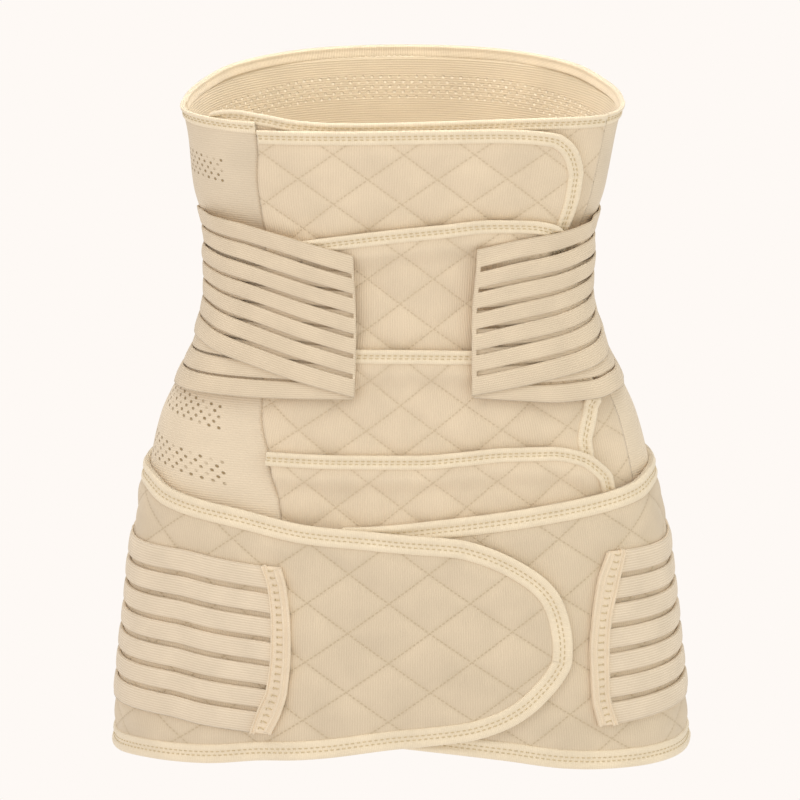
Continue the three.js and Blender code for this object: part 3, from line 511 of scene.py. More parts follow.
def eyelet_knit(name, light, shade, hole):
    """Level ribs with three bands of eyelets, some of them drawn half shut."""
    material, tree, shader, flat, u, v = start_cloth(name, 0.88, 0.2)
    from_back = add(tree, MATH, {0: u, 1: BACK_MIDDLE}, operation="SUBTRACT")
    from_back = add(tree, MATH, {0: from_back}, operation="ABSOLUTE")
    spots = 0.0
    for band in EYELET_BANDS:
        spot = eyelet_band(tree, u, v, from_back, band)
        spots = add(tree, MATH, {0: spots, 1: spot}, operation="MAXIMUM")
    last = BACK_MIDDLE + BACK_HALF - PLAIN_STRIP
    first = BACK_MIDDLE - BACK_HALF * EYELET_HALF
    before_end = add(tree, MATH, {0: u, 1: last}, operation="LESS_THAN")
    past_start = add(tree, MATH, {0: u, 1: first}, operation="GREATER_THAN")
    worn = add(tree, NOISE, {"Vector": flat, "Scale": 0.16, "Detail": 1.0})
    worn = add(tree, RAMP, {"Value": worn, 1: 0.36, 2: 0.5, 3: 0.25, 4: 1.0})
    for share in (before_end, past_start, worn):
        spots = add(tree, MATH, {0: spots, 1: share}, operation="MULTIPLY")
    ribs = ridges(tree, v, KNIT_RIB)
    low = add(tree, RAMP, {"Value": ribs, 1: -1.0, 2: 1.0, 3: 0.28, 4: 0.0})
    loops, value = uneven(tree, flat, 1.1, 0.03, 0.95)
    # painted shade: the knit's colour darkens towards the top
    painted_shade_towards_top = add(tree, RAMP, {"Value": v, 1: -60.0, 2: 60.0, 3: 1.03, 4: 0.94})
    value = add(tree, MATH, {0: value, 1: painted_shade_towards_top}, operation="MULTIPLY")
    tone = add(tree, MIX, {0: low, 6: linear(light), 7: linear(shade)}, out=2, data_type="RGBA")
    tone = add(tree, "ShaderNodeHueSaturation", {"Value": value, "Color": tone})
    # the hole colour is painted shade in the eyelets on the outside and painted light in them on
    # the inside
    tone = add(tree, MIX, {0: spots, 6: tone, 7: linear(hole)}, out=2, data_type="RGBA")
    end_cloth(tree, shader, tone, [(ribs, 0.1), (loops, 0.2), (spots, -1.0)])
    return material


# the hole colour here is painted shade seen in the eyelets
back_knit = eyelet_knit("eyelet_elastic_knit", "#ebdbc2", "#d5c2a4", "#a58d68")
# the inner side is the same knit painted lighter, as painted light, and its eyelets are painted
# light
inner_knit_painted_lighter = eyelet_knit("eyelet_elastic_knit_inside_painted_lighter", "#efe0c5", "#dac7a7", "#fdf0d9")
print("eyelet rows are", EYELET_ROW, "mm apart over half a girth of", round(BACK_HALF), "mm")

# %% [markdown]
# ### Tape, elastic, hook tab and thread
# The edge tape is a soft woven nylon with a fine cross grain and more sheen than the
# knits. The elastic is woven with rubber threads: they run the length of each strip as
# ribs 1.35 mm apart, or 1.6 mm on the hips, with the cross threads as a finer grain. The
# hook tabs have a brushed face. The sewing thread is a pale spun polyester.


# %% Ribbed finishes
def ribbed(name, light, shade, over, rib, grain, roughness=0.82, sheen=0.2, depth=0.5):
    """A cloth with ribs that follow one another over u or v, and a finer cross grain."""
    material, tree, shader, flat, u, v = start_cloth(name, roughness, sheen)
    place, other = (u, v) if over == "u" else (v, u)
    ribs, cross = ridges(tree, place, rib), ridges(tree, other, grain)
    loops, value = uneven(tree, flat, 1.6, 0.05, 0.95)
    low = add(tree, RAMP, {"Value": ribs, 1: -1.0, 2: 0.7, 3: depth, 4: 0.0})
    tone = add(tree, MIX, {0: low, 6: linear(light), 7: linear(shade)}, out=2, data_type="RGBA")
    tone = add(tree, "ShaderNodeHueSaturation", {"Value": value, "Color": tone})
    end_cloth(tree, shader, tone, [(ribs, 0.3 * depth), (cross, 0.06), (loops, 0.1)], 0.6)
    return material


nylon = {"roughness": 0.7, "sheen": 0.3, "depth": 0.3}
brushed = {"roughness": 0.9, "depth": 0.15}
spun = {"roughness": 0.75, "depth": 0.4}
tape = ribbed("woven_edge_tape", "#f6e7cc", "#e2cfae", "u", 1.1, 0.9, **nylon)
elastic = ribbed("woven_elastic", "#ebdac0", "#cfbb9c", "v", 1.35, 0.9)
hip_elastic = ribbed("woven_elastic_hip", "#efdfc7", "#d3c0a2", "v", 1.6, 0.9)
hook_face = ribbed("brushed_hook_tab", "#f0dfc5", "#dcc8a8", "v", 1.4, 1.4, **brushed)
thread = ribbed("sewing_thread", "#e8d5ad", "#cfb889", "u", 0.6, 0.3, **spun)
print("ribbed finishes:", [m.name for m in (tape, elastic, hip_elastic, hook_face, thread)])

# %% [markdown]
# ## Relief of the cloth
# Quilting pulls the face down along its lines and lets the foam swell between them, so
# the height over a line rises fast and then levels off. Loose, slow waves are added to
# every piece, because worn cloth is never as even as a drawing.


# %% Quilting and slack
FOAM_REACH = 4.6  # mm beside a quilting line over which the foam does most of its rise


def quilted(u, v, diamond, puff):
    """How high the foam stands, in mm: 0 on a quilting line, up to puff between them."""
    wide, high = diamond
    spacing = wide * high / math.hypot(wide, high)
    rise = 1.0
    for family in (u / wide + v / high, u / wide - v / high):
        distance = np.abs(family - np.round(family)) * spacing
        rise = rise * (1 - np.exp(-((distance / FOAM_REACH) ** 1.1)))
    return puff * rise


def slack(u, v, size, seed):
    """Slow waves in the cloth, in mm, the same every run."""
    total = 0.0
    waves = [(0.031, 0.043), (-0.052, 0.021), (0.017, -0.061), (0.083, 0.05)]
    for k, (a, b) in enumerate(waves):
        total = total + np.sin(a * u + b * v + 1.7 * seed + 2.1 * k) / (1 + 0.6 * k)
    return size * total / 2


# %% [markdown]
# ## Cloth under the waist belt
# The belt's straps pull hard on what they cover, and the cloth under them fills the room
# up to them. In the slits one sees that cloth close by and softly shaded, where an empty
# room would look black. So the covered cloth is made to swell up to half a millimetre
# under the straps, and to come back to its own place just inside their edges.

# %% The straps' tables and how far the cloth under them swells
BELT_SIDE = 96.0  # turn at which the straps are sewn to the belt's back
# top edge and lower edge of each strap
STRAPS = {
    "waist_strap_left": (
        [(-BELT_SIDE, 0.39), (-66, 0.417), (-48, 0.398), (-36, 0.355), (-26, 0.307), (-14, 0.25)],
        [
            (-BELT_SIDE, -0.085), (-65, -0.096), (-54, -0.11), (-40, -0.131), (-29, -0.154),
            (-11.8, -0.19),
        ],
    ),
    "waist_strap_right": (
        [(21.8, 0.28), (34, 0.322), (46, 0.345), (58, 0.376), (75, 0.388), (BELT_SIDE, 0.39)],
        [(17.9, -0.187), (37, -0.163), (52, -0.147), (62, -0.136), (BELT_SIDE, -0.096)],
    ),
    "waist_under_strap_left": (
        [(-BELT_SIDE, 0.16), (-40, 0.18), (-14.2, 0.17)],
        [(-BELT_SIDE, -0.203), (-50, -0.199), (-21, -0.196), (-12.2, -0.195)],
    ),
    "waist_under_strap_right": (
        [(21.6, 0.16), (40, 0.17), (BELT_SIDE, 0.16)],
        [
            (18.3, -0.192), (30, -0.202), (41, -0.21), (52, -0.21), (62, -0.204),
            (BELT_SIDE, -0.203),
        ],
    ),
}
NO_UNDER_STRAP = (34, 22)  # heights between which the outer straps sink to the cloth
STRAP_AIR = 0.5  # mm left between a strap and the cloth that swells up to it


def under_straps(turn, height):
    """How far a point lies under the waist belt's straps: 0 outside them, 1 well inside."""
    turn = wrap_turn(turn)
    found = 0.0
    for side in ("left", "right"):
        top, low = STRAPS[f"waist_strap_{side}"][0], STRAPS[f"waist_under_strap_{side}"][1]
        upper, lower = height_at(top, turn), height_at(low, turn)
        within = ease(upper - 5, upper - 11, height) * ease(lower + 5, lower + 11, height)
        past_end = ease(-17.5, -22, turn) if side == "left" else ease(25, 30, turn)
        found = found + within * past_end * (np.abs(turn) < BELT_SIDE + 1)
    return found


def room_under_straps(turn, height, face):
    """Millimetres from a cloth face up to just under the straps over it."""
    over = waist_level(wrap_turn(turn)) - STRAP_AIR
    return np.clip(over - face, 0, None) * under_straps(turn, height)


tab_face = TAB_LEVEL + QUILT
tab_swell = float(room_under_straps(-30, 20.0, tab_face))
print("swell of a tab under the left strap, mm:", round(tab_swell, 1))

# %% [markdown]
# ## Edge bindings
# Each bound edge has a tape folded over it and sewn through with two rows of stitches.
# The fold makes a round roll at the very edge, the stitches press a valley beside it, and
# the tape's inner edge stands up again as a ridge. A section of that shape is carried
# along the edge line. Between stitches the tape swells, so its height rises and falls
# with the stitch length. The stitches are small thread pieces of their own.

# %% Stitches along a line
STITCH_PITCH, STITCH = 3.7, 2.5
stitches = []


def place_stitches(turns, heights, away, pitch=STITCH_PITCH, size=STITCH, ladder=False):
    """Keeps the places of stitches along a line, for one mesh made at the end."""
    points = form(turns, heights, away)
    up = form(turns, heights, away + 1) - points
    run = run_along(points)
    s = np.arange(pitch / 2, run[-1] - pitch / 2, pitch)

    def at(distance, values):
        return np.stack([np.interp(distance, run, values[:, k]) for k in range(3)], -1)

    place, outward = at(s, points), at(s, up)
    ahead = at(s + 0.5, points) - place
    if ladder:
        ahead = np.cross(ahead, outward)
    stitches.append((place, ahead, outward, np.full(len(s), size)))


# %% Binding section
# share of the width from the edge, lift over the face in mm
OUTER_SECTION = [
    (0.0, 0.25), (0.06, 0.85), (0.17, 1.15), (0.29, 0.95), (0.37, 0.25), (0.46, 0.05),
    (0.56, 0.05), (0.65, 0.25), (0.74, 0.8), (0.85, 0.85), (0.95, 0.5), (1.0, 0.0),
]
INNER_SECTION = [
    (1.0, 0.05), (0.9, 0.3), (0.7, 0.35), (0.5, 0.1), (0.33, 0.15), (0.2, 0.55), (0.06, 0.45),
]
STITCH_ROWS, STITCH_LIFT = (0.42, 0.62), 0.22
EDGE_STEP = 1.0


def inward(turns, heights):
    """How turn and height change for each millimetre to the right of a line."""
    across = form(turns + 0.5, heights) - form(turns - 0.5, heights)
    upward = (form(turns, heights + 1) - form(turns, heights - 1)) / 2
    per_turn, per_height = np.linalg.norm(across, axis=1), np.linalg.norm(upward, axis=1)
    run, rise = np.gradient(turns) * per_turn, np.gradient(heights) * per_height
    length = np.hypot(run, rise)
    return rise / length / per_turn, -run / length / per_height


def bind(name, line, width, level, thick, material=tape, rows=STITCH_ROWS):
    """A folded tape round the edge of a cloth, thick mm over its level, with its stitches."""
    turns, heights = line
    turn_step, height_step = inward(turns, heights)
    run = np.arange(len(turns)) * EDGE_STEP
    swell = 1 + 0.16 * np.cos(2 * np.pi * run / STITCH_PITCH) + 0.08 * np.sin(run / 17.0)
    rings, flat = [], []
    path, w_before = 0.0, 0.0
    for side, section in ((1, OUTER_SECTION), (-1, INNER_SECTION)):
        for w, lift in section:
            if rings:
                path += math.hypot((w - w_before) * width, 0.3)
            w_before = w
            face = level + thick + lift * swell if side > 0 else level - lift * swell
            place = turns + turn_step * w * width, heights + height_step * w * width
            rings.append(form(*place, face))
            flat.append(np.stack([run, np.full_like(run, path)], -1))
    points, uv = np.stack(rings, 1), np.stack(flat, 1)
    count, sides = points.shape[:2]
    ids = np.arange(count * sides).reshape(count, sides)
    around = np.roll(ids, -1, axis=1)
    quads = np.stack([ids[:-1], around[:-1], around[1:], ids[1:]], -1).reshape(-1, 4)
    caps = [ids[0][::-1][None, :], ids[-1][None, :]]
    faces = [quads] + caps
    piece = mesh_object(name, points.reshape(-1, 3), faces, uv.reshape(-1, 2), material)
    for share in rows:
        w = share * width
        place = turns + turn_step * w, heights + height_step * w
        place_stitches(*place, level + thick + STITCH_LIFT)
    print(f"{name}: {len(run)} mm of tape, {width} mm wide")
    return piece


# %% What a piece stands for
def declare(nodes):
    """Hides the solids that a cloth piece stands for."""
    if nodes:
        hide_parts(*nodes)


# %% [markdown]
# ## The torso wrap's back and front panels
# The back panel runs from the right seam round the back to the left seam. Its net follows
# both seams, so that its ribs stay level, and its top edge is hidden in the rim binding.
# The front panel starts at the right seam and ends in a rounded tongue inside the left
# side, where its rim can be seen over the tabs. Past the tabs' ends it swells up to the
# straps as the back panel does, so that no gap opens between the two at the right seam.

# %% Back panel
WRAP_HEM = float(height_of(-0.58))
# mm by which the cloth ends short of its bound edge, where the tape hides it
UNDER_RIM_TAPE, UNDER_FRONT_TAPE, UNDER_TAB_TAPE, UNDER_HIP_TAPE = 4.4, 3.6, 4.5, 6.0
BACK_RIM = [
    (58.5, 0.918), (75, 0.925), (92, 0.94), (112, 0.955), (130, 0.985), (160, 1.0), (200, 1.0),
    (230, 0.985), (250, 0.955), (270, 0.94), (290, 0.925), (322.1, 0.905),
]
down = np.arange(RIM_HEIGHT - 2, WRAP_HEM, -2.4)[:, None]
start = turn_at(RIGHT_SEAM, down) + SEAM_GAP
end = 360 + turn_at(LEFT_SEAM, down) - SEAM_GAP
turn = start + (end - start) * np.linspace(0, 1, 210)[None, :]
height = np.broadcast_to(down, turn.shape)
near_waist = turn[50]
u, v = along_cloth(near_waist, 0.0) * np.ones_like(turn), height
keep = (height < height_at(BACK_RIM, turn) - UNDER_RIM_TAPE)[:-1, :-1]
level = back_level(turn)
swell = room_under_straps(turn, height, level + KNIT + STRAP_AIR)
level = level + swell + slack(u, v, 0.5, 1)
back_panel = cloth("back_panel", turn, height, level, level + KNIT, (u, v), keep, back_knit)
# the inner side takes the copy of the knit that is painted lighter
back_panel.data.materials.append(inner_knit_painted_lighter)
finish_of_face = np.zeros(len(back_panel.data.polygons), np.int32)
finish_of_face[keep.sum() : 2 * keep.sum()] = 1  # the cells of the inner side come second
back_panel.data.polygons.foreach_set("material_index", finish_of_face)
declare(["wrap_back_panel"])

line = edge_line(BACK_RIM, EDGE_STEP)
rim = bind("rim_binding", line, RIM_BINDING, back_level(line[0]), KNIT)
declare(["wrap_rim_binding"])

# %% Front panel
FRONT_RIM = [
    (-60, 0.6), (-59.2, 0.74), (-56.5, 0.865), (-51.5, 0.935), (-44, 0.955), (-36, 0.94),
    (-27, 0.912), (-17, 0.902), (0, 0.907), (32, 0.921), (58.1, 0.914),
]
FAR_BELOW = -400  # a height under everything, to close an outline
step_turn = np.arange(TONGUE_END, 59.0, 1.2)[None, :]
share = (step_turn - TONGUE_END) / (58.5 - TONGUE_END)
down = np.arange(RIM_HEIGHT, WRAP_HEM, -2.8)[:, None]
turn = TONGUE_END + (turn_at(RIGHT_SEAM, down) - SEAM_GAP - TONGUE_END) * share
height = np.broadcast_to(down, turn.shape)
u, v = along_cloth(step_turn, 0.0) * np.ones_like(turn), height
line = edge_line(FRONT_RIM, 4.0)
outline = (
    np.concatenate([line[0], [62, 62, -59]]),
    np.concatenate([line[1], [line[1][-1], FAR_BELOW, FAR_BELOW]]),
)
keep = inside(outline, turn, height + UNDER_FRONT_TAPE) & (turn > TONGUE_END + 1.5)
past_tabs = ease(53.5, 56.0, turn)
face = LINING + room_under_straps(turn, height, LINING) * past_tabs
front_panel = cloth("front_panel", turn, height, 0.0, face, (u, v), keep[:-1, :-1], tab_knit)
declare(["wrap_front_panel"])
front_rim = bind("front_binding", edge_line(FRONT_RIM, EDGE_STEP), RIM_BINDING, 0.0, LINING)
declare(["wrap_front_binding"])

# %% [markdown]
# ## The four tabs
# The tabs close the wrap from the left seam to the right, each over the lower edge of the
# one above, like roof tiles laid upside down. Each has its bound edge along the top and
# round its right-hand end. The net runs level from the seam, and the cells past the bound
# edge are left out under the binding, where nobody sees them.

# %% The tabs' edges
TOP_ROWS = 7  # rows of a tab's table that run along its top, before it turns down
# name, height of its hem, its bound edge
TABS = [
    ("tab_1", -0.02, [
        (-37.7, 0.865), (-17, 0.867), (4, 0.873), (22, 0.876), (30, 0.87), (39.3, 0.845),
        (44.8, 0.785), (48.3, 0.705), (50.3, 0.62), (50.8, 0.43), (50.5, 0.31),
    ]),
    ("tab_2", -0.22, [
        (-38.9, 0.28), (-27, 0.32), (-16, 0.35), (-5, 0.375), (12, 0.405), (24, 0.425),
        (35, 0.415), (43.3, 0.385), (48.3, 0.33), (51.3, 0.22), (52.8, 0.05), (52.8, -0.08),
    ]),
    ("tab_3", -0.36, [
        (-36.6, -0.092), (0, -0.093), (20, -0.096), (36, -0.103), (47.3, -0.123),
        (52.3, -0.158), (53.8, -0.195), (52.8, -0.222), (50.8, -0.25), (48.3, -0.28),
        (47, -0.303),
    ]),
    ("tab_4", -0.58, [
        (-30.8, -0.31), (-14, -0.313), (4, -0.313), (14, -0.307), (24, -0.3), (35, -0.302),
        (43.3, -0.319), (47.8, -0.345), (50.8, -0.375), (52.3, -0.42), (53.3, -0.48),
        (53.3, -0.56),
    ]),
]
TAPE_PAST_TAB_3 = [(46.6, -0.333), (46.2, -0.36)]


def tab_level(number, turn, height):
    """A tab lies over the one above it at its top and comes down to the panel under it."""
    if number == 0:
        return 0 * turn + TAB_LEVEL
    overlap = height_at(TABS[number][2][:TOP_ROWS], turn) - TAB_OVERLAP
    return TAB_LEVEL + (OVER_TAB - TAB_LEVEL) * ease(overlap - 14, overlap - 2, height)


# %% Tabs
for number, (name, hem, table) in enumerate(TABS):
    top, hem = float(height_of(max(r[1] for r in table))), float(height_of(hem))
    right = max(r[0] for r in table)
    steps = np.arange(top, hem - 22, -1.5)[:, None]
    share = np.linspace(0, 1, int((right + 40) * 1.35))[None, :]
    seam = turn_at(LEFT_SEAM, steps) + SEAM_GAP
    turn = seam + (right - seam) * share
    height = np.broadcast_to(steps, turn.shape)

    line = edge_line(table, 2.0)
    outline = (
        np.concatenate([[-60], line[0], [line[0][-1], -60]]),
        np.concatenate([line[1][:1], line[1], [FAR_BELOW, FAR_BELOW]]),
    )
    under_tape = turn + UNDER_TAB_TAPE / 2.2 * ease(36, 46, turn), height + UNDER_TAB_TAPE
    lowest = 0 * turn + WRAP_HEM
    if number < 3:
        lowest = height_at(TABS[number + 1][2][:TOP_ROWS], turn) - TAB_OVERLAP
    keep = inside(outline, *under_tape) & (height > lowest)

    middle = (hem + float(height_of(table[3][1]))) / 2
    u, v = along_cloth(turn, middle), height * 1.03
    puff = quilted(u, v, TAB_DIAMOND, 1.6) + slack(u, v, 0.35, number + 2)
    inner_edge = TAB_BINDING * 0.75
    from_tape = ease(inner_edge, inner_edge + 9, gap_to(line, turn, height, middle))
    level = tab_level(number, turn, height)
    face = level + QUILT - 0.6 + puff * from_tape
    face = face + room_under_straps(turn, height, face) * from_tape
    piece = cloth(name, turn, height, level, face, (u, v), keep[:-1, :-1], tab_knit)
    declare([f"wrap_{name}"])

    line = edge_line(table + TAPE_PAST_TAB_3 if number == 2 else table, EDGE_STEP)
    edge = bind(f"{name}_binding", line, TAB_BINDING, tab_level(number, *line), QUILT - 0.2)
    declare([f"wrap_{name}_binding"])

# %% [markdown]
# ## Slitted elastic straps
# A strap is one piece of wide woven elastic, slit into seven strips that stay joined at
# both ends, so that it can fan over a hip. Each strip bulges a little along its middle and
# its cut edges turn down. The slits are the cells left out of the net, and they are widest
# near the free end. The under straps run nearly level and show below the outer ones, which
# slant down to the front. At the sides an outer strap's top edge hugs the wrap.

# %% Nets of slitted straps
STRIPS = 7


def sloping_end(top, low, row, bow=0.0):
    """The turn of a strap's end, from a row of its top edge to that of its lower one."""
    return lambda down: top[row][0] * (1 - down) + low[row][0] * down + bow * down * (1 - down)


def strip_net(top, low, ends, rows_each, slit):
    """Turns, heights and shares of a slitted strap, and which rows are slits."""
    middle = ends[0](0.5)
    half = slit / 2 / abs(float(height_at(top, middle) - height_at(low, middle)))
    down, gap = [], []
    for k in range(STRIPS):
        first = k / STRIPS + half * (k > 0)
        last = (k + 1) / STRIPS - half * (k < STRIPS - 1)
        down += [first + (last - first) * s for s in np.linspace(0, 1, rows_each)]
        gap += [False] * (rows_each - 1) + [True]
    down = np.concatenate(down)
    left, right = ends[0](down), ends[1](down)
    turn = left + (right - left) * np.linspace(0, 1, slit.size)[None, :]
    height = height_at(top, turn) * (1 - down) + height_at(low, turn) * down
    return turn, height, down, np.array(gap[:-1])[:, None]


def strips(net, free_end, slit, middle, crown, size, seed):
    """Which cells are cloth, their flat places, and how the strips bulge and wave."""
    turn, height, down, gap = net
    fused = (free_end[:, :-1] > 0.985) | (free_end[:, :-1] < 0.03)
    room = float(np.ptp(height[:, 60]))
    u, v = along_cloth(turn, middle), -down * room
    place = (down * STRIPS) % 1.0
    from_cut = np.minimum(place, 1 - place) * room / STRIPS - slit / 2
    bulge = crown * (1 - np.exp(-np.clip(from_cut, 0, None) / 1.1)) + slack(u, v * 3, size, seed)
    return ~(gap & ~fused), (u, v), bulge * ease(0, 0.05, free_end) * ease(1.0, 0.97, free_end)


# %% Waist straps
# mm across a slit at the free end; at the side it is 0.6 of that
WAIST_SLITS = {
    "waist_strap_left": 2.5,
    "waist_strap_right": 3.3,
    "waist_under_strap_left": 1.7,
    "waist_under_strap_right": 2.0,
}
RIGHT_BOW = 3.6  # degrees that the right straps' free ends bow
for name, (top, low) in STRAPS.items():
    is_outer = "under" not in name
    way, bow = (1, 0.0) if name.endswith("left") else (-1, RIGHT_BOW)
    ends = [sloping_end(top, low, 0, bow), sloping_end(top, low, -1)]
    free_end = np.linspace(0, 1, 120)[None, ::way]
    slit = WAIST_SLITS[name] * (0.6 + 0.4 * free_end)
    net = strip_net(top, low, ends, 9, slit)
    turn, height = net[:2]
    keep, flat, bulge = strips(net, free_end, slit, 0.0, 0.55, 0.25, len(name))
    level = waist_level(turn)
    if is_outer:
        level = level + (ELASTIC + CLEAR) * ease(*NO_UNDER_STRAP, height)
        stand_off = np.clip(level - back_level(turn) - KNIT - 1.0, 0, None)
        upper = height_at(top, turn)
        hug = ease(upper - 15, upper - 3, height) * ease(56, 70, np.abs(turn))
        level = level - stand_off * hug
    made = name.replace("strap", "elastic")
    piece = cloth(made, turn, height, level, level + ELASTIC - 0.4 + bulge, flat, keep, elastic)
    declare([name])

# %% Back of the waist belt
BACK_TOP, BACK_LOW, BACK_ROWS, BACK_COLUMNS = 0.39, -0.203, 36, 120
turn = np.linspace(BELT_SIDE + 0.1, 360 - BELT_SIDE - 0.1, BACK_COLUMNS)[None, :]
height = np.linspace(float(height_of(BACK_TOP)), float(height_of(BACK_LOW)), BACK_ROWS)[:, None]
turn, height = turn + 0 * height, height + 0 * turn
u, v = along_cloth(turn, 0.0), height
from_strap = np.minimum(turn, 360 - turn) - BELT_SIDE
level = waist_level(turn)
full = strap_level(turn) + ELASTIC + slack(u, v, 0.4, 5)
thin = level + 1.3
face = thin + (full - thin) * ease(0, 18, from_strap)
keep = np.ones((BACK_ROWS - 1, BACK_COLUMNS - 1), bool)
waist_back = cloth("waist_back", turn, height, level, face, (u, v), keep, elastic)
for column in (6, 8, 111, 113):
    rows = slice(2, -2), column
    place_stitches(turn[rows], height[rows], face[rows] + 0.1)
declare(["waist_back_panel"])

# %% [markdown]
# ## The hip belt
# The hip belt is one quilted panel that goes once round the hips and overlaps itself at
# the front, with its rounded outer end on top. It is the thickest cloth of the binder, so
# its diamonds are larger and swell more, and its tape is wider. One line of tape runs
# along its top, round the outer end and back along the hem.

# %% The hip belt's edge
HIP_EDGE = [
    (-13, -0.462), (-7, -0.46), (9, -0.446), (23, -0.432), (35, -0.419), (45, -0.409),
    (58.5, -0.395), (70, -0.38), (90, -0.376), (180, -0.372), (270, -0.376), (290, -0.382),
    (303, -0.406), (313, -0.419), (323.5, -0.431), (333, -0.447), (342, -0.458), (351, -0.465),
    (361, -0.474), (372, -0.483), (379, -0.503), (385.6, -0.537), (390.6, -0.577),
    (393.2, -0.616), (394.6, -0.665), (395, -0.708), (394.6, -0.75), (393, -0.78),
    (390.2, -0.813), (385.4, -0.856), (380, -0.886), (373.4, -0.906), (366, -0.915),
    (358, -0.923), (344, -0.944), (332.5, -0.956), (320, -0.974), (302.5, -0.985),
    (285, -0.996), (270, -0.998), (180, -0.998), (75, -0.997), (54, -0.994), (40, -0.987),
    (32, -0.978), (20, -0.954), (10, -0.938), (-2, -0.923), (-13, -0.914),
]
TURNING = 25  # the row at the outer end's farthest point
HIP_MIDDLE = -215.0  # the height at which lengths along the belt are taken
UNDER_HIP_STRAPS = ((251, 333), (38, 109))  # turns between which straps press on the belt

# %% Hip belt
top_edge, hem_edge = HIP_EDGE[: TURNING + 1], HIP_EDGE[TURNING:][::-1]
turn = np.linspace(-13, 394.5, 520)[None, :]
upper, lower = height_at(top_edge, turn), height_at(hem_edge, turn)
share = np.linspace(0, 1, 76)[:, None]
height = (upper - UNDER_HIP_TAPE) * (1 - share) + (lower + UNDER_HIP_TAPE) * share
keep = np.broadcast_to(upper - lower > 2.2 * UNDER_HIP_TAPE, height.shape)[:-1, :-1]
turn = np.broadcast_to(turn, height.shape)
u, v = along_cloth(turn, HIP_MIDDLE), height * 1.02
puff = quilted(u, v, HIP_DIAMOND, 1.9) + slack(u, v, 0.5, 9)
low_share = height / HIP_DROP
in_strap_rows = ease(-0.5, -0.54, low_share) * ease(-0.925, -0.885, low_share)
for first, last in UNDER_HIP_STRAPS:
    pressed = ease(first - 3, first + 4, turn) * ease(last + 3, last - 4, turn) * in_strap_rows
    puff = puff * (1 - 0.85 * pressed) + 0.85 * pressed
from_edge = gap_to(edge_line(HIP_EDGE, 4.0), turn, height, HIP_MIDDLE)
puff = puff * ease(HIP_BINDING * 0.8, HIP_BINDING * 0.8 + 10, from_edge)
level = hip_level(turn)
face = level + HIP_QUILT - 0.7 + puff
hip_belt = cloth("hip_belt_panel", turn, height, level, face, (u, v), keep, hip_knit)
declare(["hip_belt"])

line = edge_line(HIP_EDGE, EDGE_STEP)
hip_tape = bind("hip_binding", line, HIP_BINDING, hip_level(line[0]), HIP_QUILT - 0.2)
declare(["hip_belt_binding"])

# %% [markdown]
# ## Hip straps and their hook tabs
# The hip straps are made as the waist ones, of a heavier elastic. Their strips end in a
# bowed hook tab, bound on its edges, that sticks to the belt. The tab stands over the
# strips it is sewn to, so its ends are rounded over and stitched along both sides.

# %% Tables of the hip straps
HIP_SIDE = 104.0  # turn at which the hip straps are sewn to the belt
HIP_SLIT = 3.4
# height, turn of the free edge, turn of the sewn edge
END_LEFT = [
    (-0.545, -25.4, -29.8), (-0.588, -24.0, -28.1), (-0.665, -22.9, -27.0), (-0.73, -22.6, -26.8),
    (-0.8, -22.9, -27.3), (-0.85, -24.0, -29.0), (-0.897, -25.9, -30.3),
]
END_RIGHT = [
    (-0.528, 45.2, 50.4), (-0.588, 41.9, 47.5), (-0.675, 39.8, 44.4), (-0.74, 38.9, 43.4),
    (-0.83, 38.8, 42.9), (-0.893, 39.9, 44.4),
]
# top edge, lower edge, hook tab, side
HIP_STRAPS = {
    "left": (
        [
            (-HIP_SIDE, -0.528), (-70, -0.53), (-50, -0.527), (-39, -0.537), (-30.2, -0.545),
            (-24, -0.55),
        ],
        [
            (-HIP_SIDE, -0.888), (-71, -0.886), (-50, -0.882), (-41, -0.89), (-30.8, -0.896),
            (-24, -0.9),
        ],
        END_LEFT, -1,
    ),
    "right": (
        [(40, -0.527), (50.8, -0.529), (72, -0.532), (HIP_SIDE, -0.528)],
        [(38, -0.894), (44.8, -0.892), (70, -0.885), (HIP_SIDE, -0.888)],
        END_RIGHT, 1,
    ),
}


def wound(turn, sign):
    """The belt's own turn: at the left it is in its second round."""
    return turn + (360 if sign < 0 else 0)


def hip_strap_level(turn):
    return hip_level(turn) + HIP_QUILT + CLEAR


# %% Hook tabs
def hook_tab(side, sign, end_rows, heights, free, sewn):
    """A bowed tab from the sewn edge to the free one, with a roll and stitches on both."""
    down = np.linspace(heights[-1], heights[0], 130)[:, None]
    across = np.linspace(0, 1, 15)[None, :]
    turn = smooth(down, heights, sewn) * (1 - across) + smooth(down, heights, free) * across
    height = down + 0 * across
    level = hip_strap_level(wound(turn, sign))
    from_side = np.clip(np.minimum(across, 1 - across) / 0.22, 0, 1)
    from_end = np.clip(np.minimum(down - heights[0], heights[-1] - down) / 2.2, 0, 1)
    roll = 1.5 * (1 - (1 - from_side) ** 2) ** 0.5 * (1 - (1 - from_end) ** 2)
    wide = abs(float(along_cloth(free[3], HIP_MIDDLE) - along_cloth(sewn[3], HIP_MIDDLE)))
    net = (turn, height, level, roll, across * wide + 0 * down, height)
    turn, height, level, roll, u, v = (part[:, :: -sign] for part in net)
    keep, face = np.ones((129, 14), bool), level + 1.0 + roll
    tab = cloth(f"hook_tab_{side}", turn, height, level, face, (u, v), keep, hook_face)
    declare([f"hip_strap_end_{side}"])

    # a roll has its tape to the right of its line, so one runs down and the other up
    for edge, column, width, way in (("free", 1, 4.8, -sign), ("sewn", 2, 3.2, sign)):
        rows = [(wound(r[column], sign), r[0]) for r in end_rows][::way]
        line = edge_line(rows, EDGE_STEP)
        base = hip_strap_level(line[0]) + 0.6
        roll_name = f"hook_tab_{side}_{edge}_roll"
        roll_edge = bind(roll_name, line, width, base, 1.6, hook_face, rows=())
        declare([])
    top = level[:, 7]
    rows_of_stitches = ((0.5, 2.75, 3.2, True), (0.5 + 0.16 * sign, 2.6, 1.7, False))
    for share, over, size, ladder in rows_of_stitches:
        middle = turn[:, 0] * (1 - share) + turn[:, -1] * share
        place_stitches(middle, height[:, 0], top + over, 4.7, size, ladder)


